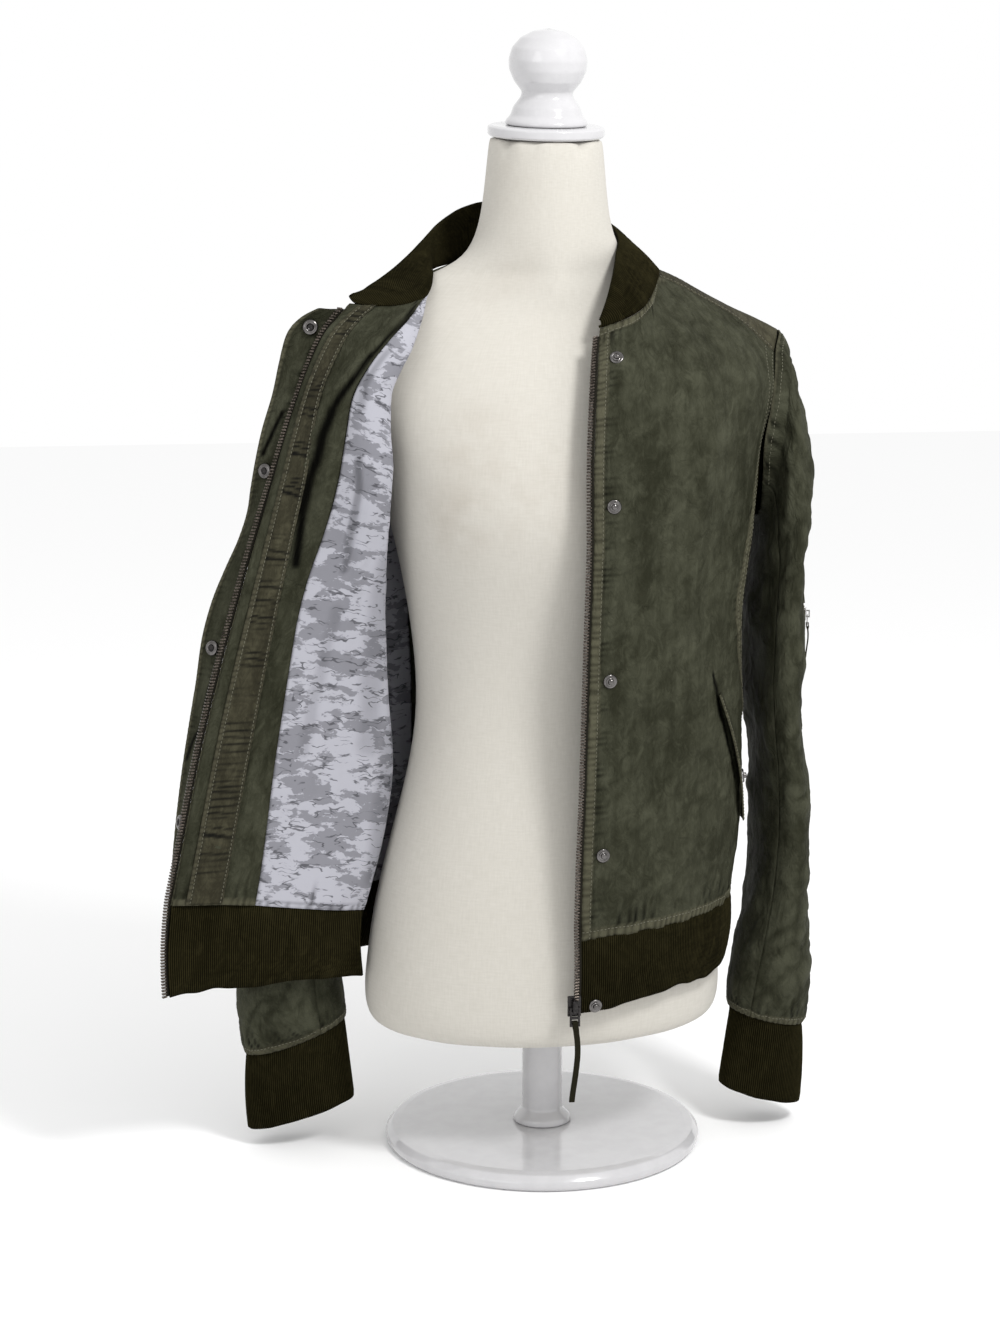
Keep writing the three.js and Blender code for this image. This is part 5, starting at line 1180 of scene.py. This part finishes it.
def make_zip(name, lines, node, size=TOOTH_SIZE, tape_reach=TAPE_REACH, rise=0.6):
    place, across, out = lines
    start = place + across * 0.1 * MM + out * rise * MM
    strip = np.stack([start + across * tape_reach * share * MM for share in (0, 0.34, 0.67, 1)], 1)
    tape = cloth_mesh(name + "_tape", StripMap(strip), strip, {})
    mesh = bmesh.new()
    mesh.from_mesh(tape)
    bmesh.ops.recalc_face_normals(mesh, faces=mesh.faces)
    bmesh.ops.solidify(mesh, geom=mesh.faces[:], thickness=0.8 * MM)
    tape_faces = len(mesh.faces)
    offset = tape_reach + size[0] / 2 - 0.7
    centres = place + across * offset * MM + out * rise * MM
    place_blocks(mesh, centres, across, out, size)
    mesh.faces.ensure_lookup_table()
    teeth = mesh.faces[tape_faces:]
    for face in teeth:
        face.material_index = 1
    edges = list({edge for face in teeth for edge in face.edges})
    bmesh.ops.bevel(mesh, geom=edges, offset=0.28 * MM, segments=1, profile=0.5, affect="EDGES", material=-1)
    data = bpy.data.meshes.new(name)
    mesh.to_mesh(data)
    mesh.free()
    piece = object_of(data, name, "zip_tape", replaces=[node])
    data.materials.append(finishes["teeth"])
    for polygon in data.polygons:
        polygon.use_smooth = polygon.material_index == 0
    return piece


class StripMap:
    """The map of a plain strip: x is the way across it and y the way along it, in mm."""

    def __init__(self, points):
        self.x = travelled(points.transpose(1, 0, 2)).T
        self.y = travelled(points)


finishes["zip_tape"] = cloth_finish(
    "zip_tape", (0.008, 0.007, 0.004), (0.03, 0.027, 0.017), (0.03, 0.027, 0.017), 0.1, 900.0, 0.8,
    Roughness=0.85, Specular_IOR_Level=0.15,
)
for side in ("left", "right"):
    make_zip("zip_chain_" + side, chain_line(side), "zip_" + side)

small = Sheet(net_of("sleeve_zip", 1.0, (1, -0.5, 0)), 1.0)
line = edge_line(small, "left")
reach = travelled(small.points[:, :1])[:, 0]
places = np.arange(0.8, reach[-1], 1.9)
lines = [np.stack([np.interp(places, reach, part[:, k]) for k in range(3)], 1) for part in line]
lines[0] = lines[0] - lines[1] * 5.6 * MM
make_zip("sleeve_zip_chain", lines, "sleeve_zip", (2.6, 1.1, 1.4), 1.8, 0.3)
print("zips made")

# %% [markdown]
# Snap fasteners are pressed from sheet metal: a stud with a ball on the left front, and a ring with a hole on the flap,
# whose inside is painted black as its shade. Each is a profile of radius and height, spun round the axis that the
# imported snap has.

# %% Snaps
STUD = [(0, 0), (5.6, 0), (5.7, 0.5), (5.2, 1.1), (4.3, 1.3), (3.6, 0.95), (2.9, 0.9), (2.2, 1.3), (2.4, 2.5),
        (1.9, 3.3), (0, 3.6)]
SOCKET = [(0, 0), (6.2, 0), (6.3, 0.6), (5.8, 1.5), (4.9, 2.1), (3.6, 2.2), (2.9, 1.9), (2.7, 0.5), (0, 0.5)]


def axis_of(node, toward):
    """The middle of a packed snap's base, and the way that it points."""
    corners = np.array([v.co[:] for v in frame["nodes"][node].data.vertices])
    corners = np.unique(corners.round(7), axis=0)
    middle = corners.mean(0)
    spread = np.linalg.svd(corners - middle)[2]
    thin = [way for way in spread if np.ptp((corners - middle) @ way) == min(np.ptp((corners - middle) @ w) for w in spread)]
    way = thin[0] if thin[0] @ np.array(toward) > 0 else -thin[0]
    along = (corners - middle) @ way
    return middle + way * along.min(), way


def spun(name, profile, node, toward, shade_within=0.0, steps=28):
    mesh = bmesh.new()
    corners = [mesh.verts.new((radius * MM, 0, height * MM)) for radius, height in profile]
    for pair in zip(corners, corners[1:]):
        mesh.edges.new(pair)
    bmesh.ops.spin(mesh, geom=mesh.verts[:] + mesh.edges[:], cent=(0, 0, 0), axis=(0, 0, 1), angle=2 * math.pi,
                   steps=steps, use_merge=True)
    bmesh.ops.remove_doubles(mesh, verts=mesh.verts, dist=1e-6)
    bmesh.ops.recalc_face_normals(mesh, faces=mesh.faces)
    for face in mesh.faces:
        centre = face.calc_center_median()
        # Faces near the axis get the black finish: painted shade in the socket's hole.
        face.material_index = int(math.hypot(centre.x, centre.y) < shade_within * MM)
    base, way = axis_of(node, toward)
    turn = Vector((0, 0, 1)).rotation_difference(Vector(way)).to_matrix().to_4x4()
    bmesh.ops.transform(mesh, matrix=Matrix.Translation(Vector(base)) @ turn, verts=mesh.verts)
    data = bpy.data.meshes.new(name)
    mesh.to_mesh(data)
    mesh.free()
    piece = object_of(data, name, "metal", replaces=[node])
    data.materials.append(finishes["black"])
    for polygon in data.polygons:
        polygon.use_smooth = True
    return piece


for number in range(1, 6):
    spun(f"stud_{number}", STUD, f"snap_stud_{number}", (0.3, -1, 0))
    spun(f"socket_{number}", SOCKET, f"snap_socket_{number}", (0, -1, 0), shade_within=2.9)
spun("pocket_stud_left", STUD, "pocket_snap_left", (0.5, -1, 0))
spun("pocket_stud_right", STUD, "pocket_snap_right", (0, 1, 0))

# %% [markdown]
# The sliders, their bridges, tabs and straps are small cast or folded pieces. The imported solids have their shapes, so a
# merged copy of each loses its triangles' edges and gets rounded corners. The tabs and straps ride on their own body.

# %% Sliders and pulls
def rounded(node, finish, body=ROOT, radius=0.3, segments=2, curve=None):
    """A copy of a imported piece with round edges. A curve of (share of its length, mm aside) bends it sideways."""
    mesh = merged_copy(node)
    bmesh.ops.dissolve_limit(mesh, angle_limit=0.03, verts=mesh.verts, edges=mesh.edges)
    if curve:
        heights = [v.co.z for v in mesh.verts]
        top, low = max(heights), min(heights)
        for share in np.linspace(0, 1, 18)[1:-1]:
            bmesh.ops.bisect_plane(mesh, geom=mesh.verts[:] + mesh.edges[:] + mesh.faces[:], plane_no=(0, 0, 1),
                                   plane_co=(0, 0, top + (low - top) * share))
        shares, aside = zip(*curve)
        for corner in mesh.verts:
            share = (top - corner.co.z) / (top - low)
            smooth = sum(np.interp(share + step, shares, aside) for step in (-0.12, -0.06, 0, 0.06, 0.12)) / 5
            corner.co.x += smooth * MM * smooth_step(share, 0, 0.1)
    bmesh.ops.bevel(mesh, geom=mesh.edges[:], offset=radius * MM, segments=segments, profile=0.5, affect="EDGES",
                    material=-1, clamp_overlap=True)
    data = bpy.data.meshes.new("rounded_" + node)
    mesh.to_mesh(data)
    mesh.free()
    piece = object_of(data, "rounded_" + node, finish, body, [node])
    for polygon in data.polygons:
        polygon.use_smooth = False
    return piece


finishes["strap"] = cloth_finish(
    "strap_tape", (0.012, 0.011, 0.006), (0.034, 0.031, 0.019), (0.034, 0.031, 0.019), 0.2, 900.0, 0.8,
    Roughness=0.85, Specular_IOR_Level=0.05,
)
rounded("main_slider", "black", radius=0.5)
rounded("main_bridge", "black", radius=0.4)
rounded("main_pull", "black", "main_pull")
rounded("main_strap", "strap", "main_pull", 0.35, curve=((0, 0), (0.35, 3.0), (0.65, 1.0), (1, -2.6)))
rounded("sleeve_slider", "silver", radius=0.3)
rounded("sleeve_bridge", "silver", radius=0.25)
rounded("sleeve_pull", "silver", "sleeve_pull", 0.2)
rounded("sleeve_strap", "strap", "sleeve_pull", 0.2, curve=((0, 0), (0.4, 1.2), (1, -1.0)))

# %% [markdown]
# Topstitching shows as rows of small, tight stitches that sink into the cloth. Each stitch is a stretched icosphere,
# and a row runs at a set distance from a panel's edge, in the same place as the groove that the thread pulls.

# %% Topstitching
STITCH = (2.5, 0.8, 0.7)
STITCH_PITCH = 3.2
STITCH_ROWS = {
    # panel: rows of side, distance from it in mm, start and end as shares
    "front_left": [("left", 6.8, 0, 1), ("right", 2.0, 0, 1), ("right", 9.6, 0, 1), ("low", 6.8, 0, 1),
                   ("top", 5.8, 0, 0.5)],
    "front_right": [("right", 6.8, 0, 1), ("left", 2.0, 0, 1), ("left", 9.6, 0, 1), ("low", 6.8, 0, 1)],
    "back": [("low", 6.8, 0, 1), ("left", 2.0, 0, 1), ("right", 2.0, 0, 1), ("top", 5.8, 0.3, 0.7)],
    "facing_band": [("left", 3.4, 0, 1), ("right", 2.0, 0, 1)],
    "storm_flap": [("right", 4.2, 0, 1)],
    "shoulder_band_left": [("low", 1.8, 0, 1), ("top", 1.8, 0, 1)],
    "shoulder_band_right": [("low", 1.8, 0, 1), ("top", 1.8, 0, 1)],
    "sleeve_upper_left": [("low", 5.8, 0, 1), ("top", 5.8, 0, 1)],
    "sleeve_upper_right": [("low", 5.8, 0, 1), ("top", 5.8, 0, 1)],
    "sleeve_under_left": [("low", 5.8, 0, 1)],
    "sleeve_under_right": [("low", 5.8, 0, 1)],
    "sleeve_pocket": [("left", 2.8, 0, 1), ("right", 2.8, 0, 1), ("low", 2.8, 0, 1), ("top", 2.8, 0, 1)],
    "pocket_welt_left": [("left", 1.8, 0, 1)],
    "pocket_welt_right": [("right", 1.8, 0, 1)],
}


def row_line(sheet, side, distance, start, end):
    """Points and outward directions at a distance from one side of a sheet."""
    sideways = side in ("left", "right")
    away = {"left": sheet.x, "right": sheet.right, "low": sheet.y, "top": sheet.top}[side]
    lines = sheet.points if sideways else sheet.points.transpose(1, 0, 2)
    normals = sheet.normal if sideways else sheet.normal.transpose(1, 0, 2)
    away = away if sideways else away.T
    places, outs = [], []
    for line, out, gone in zip(lines, normals, away):
        order = np.argsort(gone)
        places.append([np.interp(distance, gone[order], line[order, k]) for k in range(3)])
        outs.append([np.interp(distance, gone[order], out[order, k]) for k in range(3)])
    first, last = int(start * (len(places) - 1)), int(end * (len(places) - 1))
    return np.array(places)[first:last + 1], np.array(outs)[first:last + 1]


def stitch(mesh, sheet, side, distance, start, end):
    places, outs = row_line(sheet, side, distance, start, end)
    reach = np.concatenate([[0], np.cumsum(np.linalg.norm(np.diff(places, axis=0), axis=1))]) / MM
    for at in np.arange(2.0, reach[-1] - 2.0, STITCH_PITCH):
        here, ahead, out = (np.array([np.interp(spot, reach, values[:, k]) for k in range(3)])
                            for spot, values in ((at, places), (at + 1, places), (at, outs)))
        x = Vector(ahead - here).normalized()
        z = (Vector(out) - x * x.dot(Vector(out))).normalized()
        turn = Matrix((x, z.cross(x), z)).transposed().to_4x4()
        size = Matrix.Diagonal((*[length * MM / 2 for length in STITCH], 1))
        place = Matrix.Translation(Vector(here) + z * 0.12 * MM)
        bmesh.ops.create_icosphere(mesh, subdivisions=1, radius=1.0, matrix=place @ turn @ size)


material, tree, shader = finish_material("thread", Roughness=0.6, Sheen_Weight=0.05, Specular_IOR_Level=0.3)
place = add(tree, "TexCoord").outputs["Object"]
twist = noise(tree, place, 1500.0, 2.0)
put(shader.inputs["Base Color"], blend_colour(tree, twist, (0.06, 0.057, 0.037), (0.15, 0.145, 0.10)))
finishes["thread"] = material
for name, rows in STITCH_ROWS.items():
    mesh = bmesh.new()
    for row in rows:
        stitch(mesh, sheets[name], *row)
    data = bpy.data.meshes.new("stitches_" + name)
    mesh.to_mesh(data)
    mesh.free()
    object_of(data, "stitches_" + name, "thread")
    print("stitches on", name, len(data.polygons) // 20)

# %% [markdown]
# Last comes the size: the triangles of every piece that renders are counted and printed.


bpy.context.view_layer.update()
triangles = 0
for piece in bpy.data.objects:
    if piece.type == "MESH" and not piece.hide_render:
        evaluated = piece.evaluated_get(bpy.context.evaluated_depsgraph_get()).to_mesh()
        triangles += len(evaluated.loop_triangles) or sum(len(p.vertices) - 2 for p in evaluated.polygons)
print("triangles", triangles)
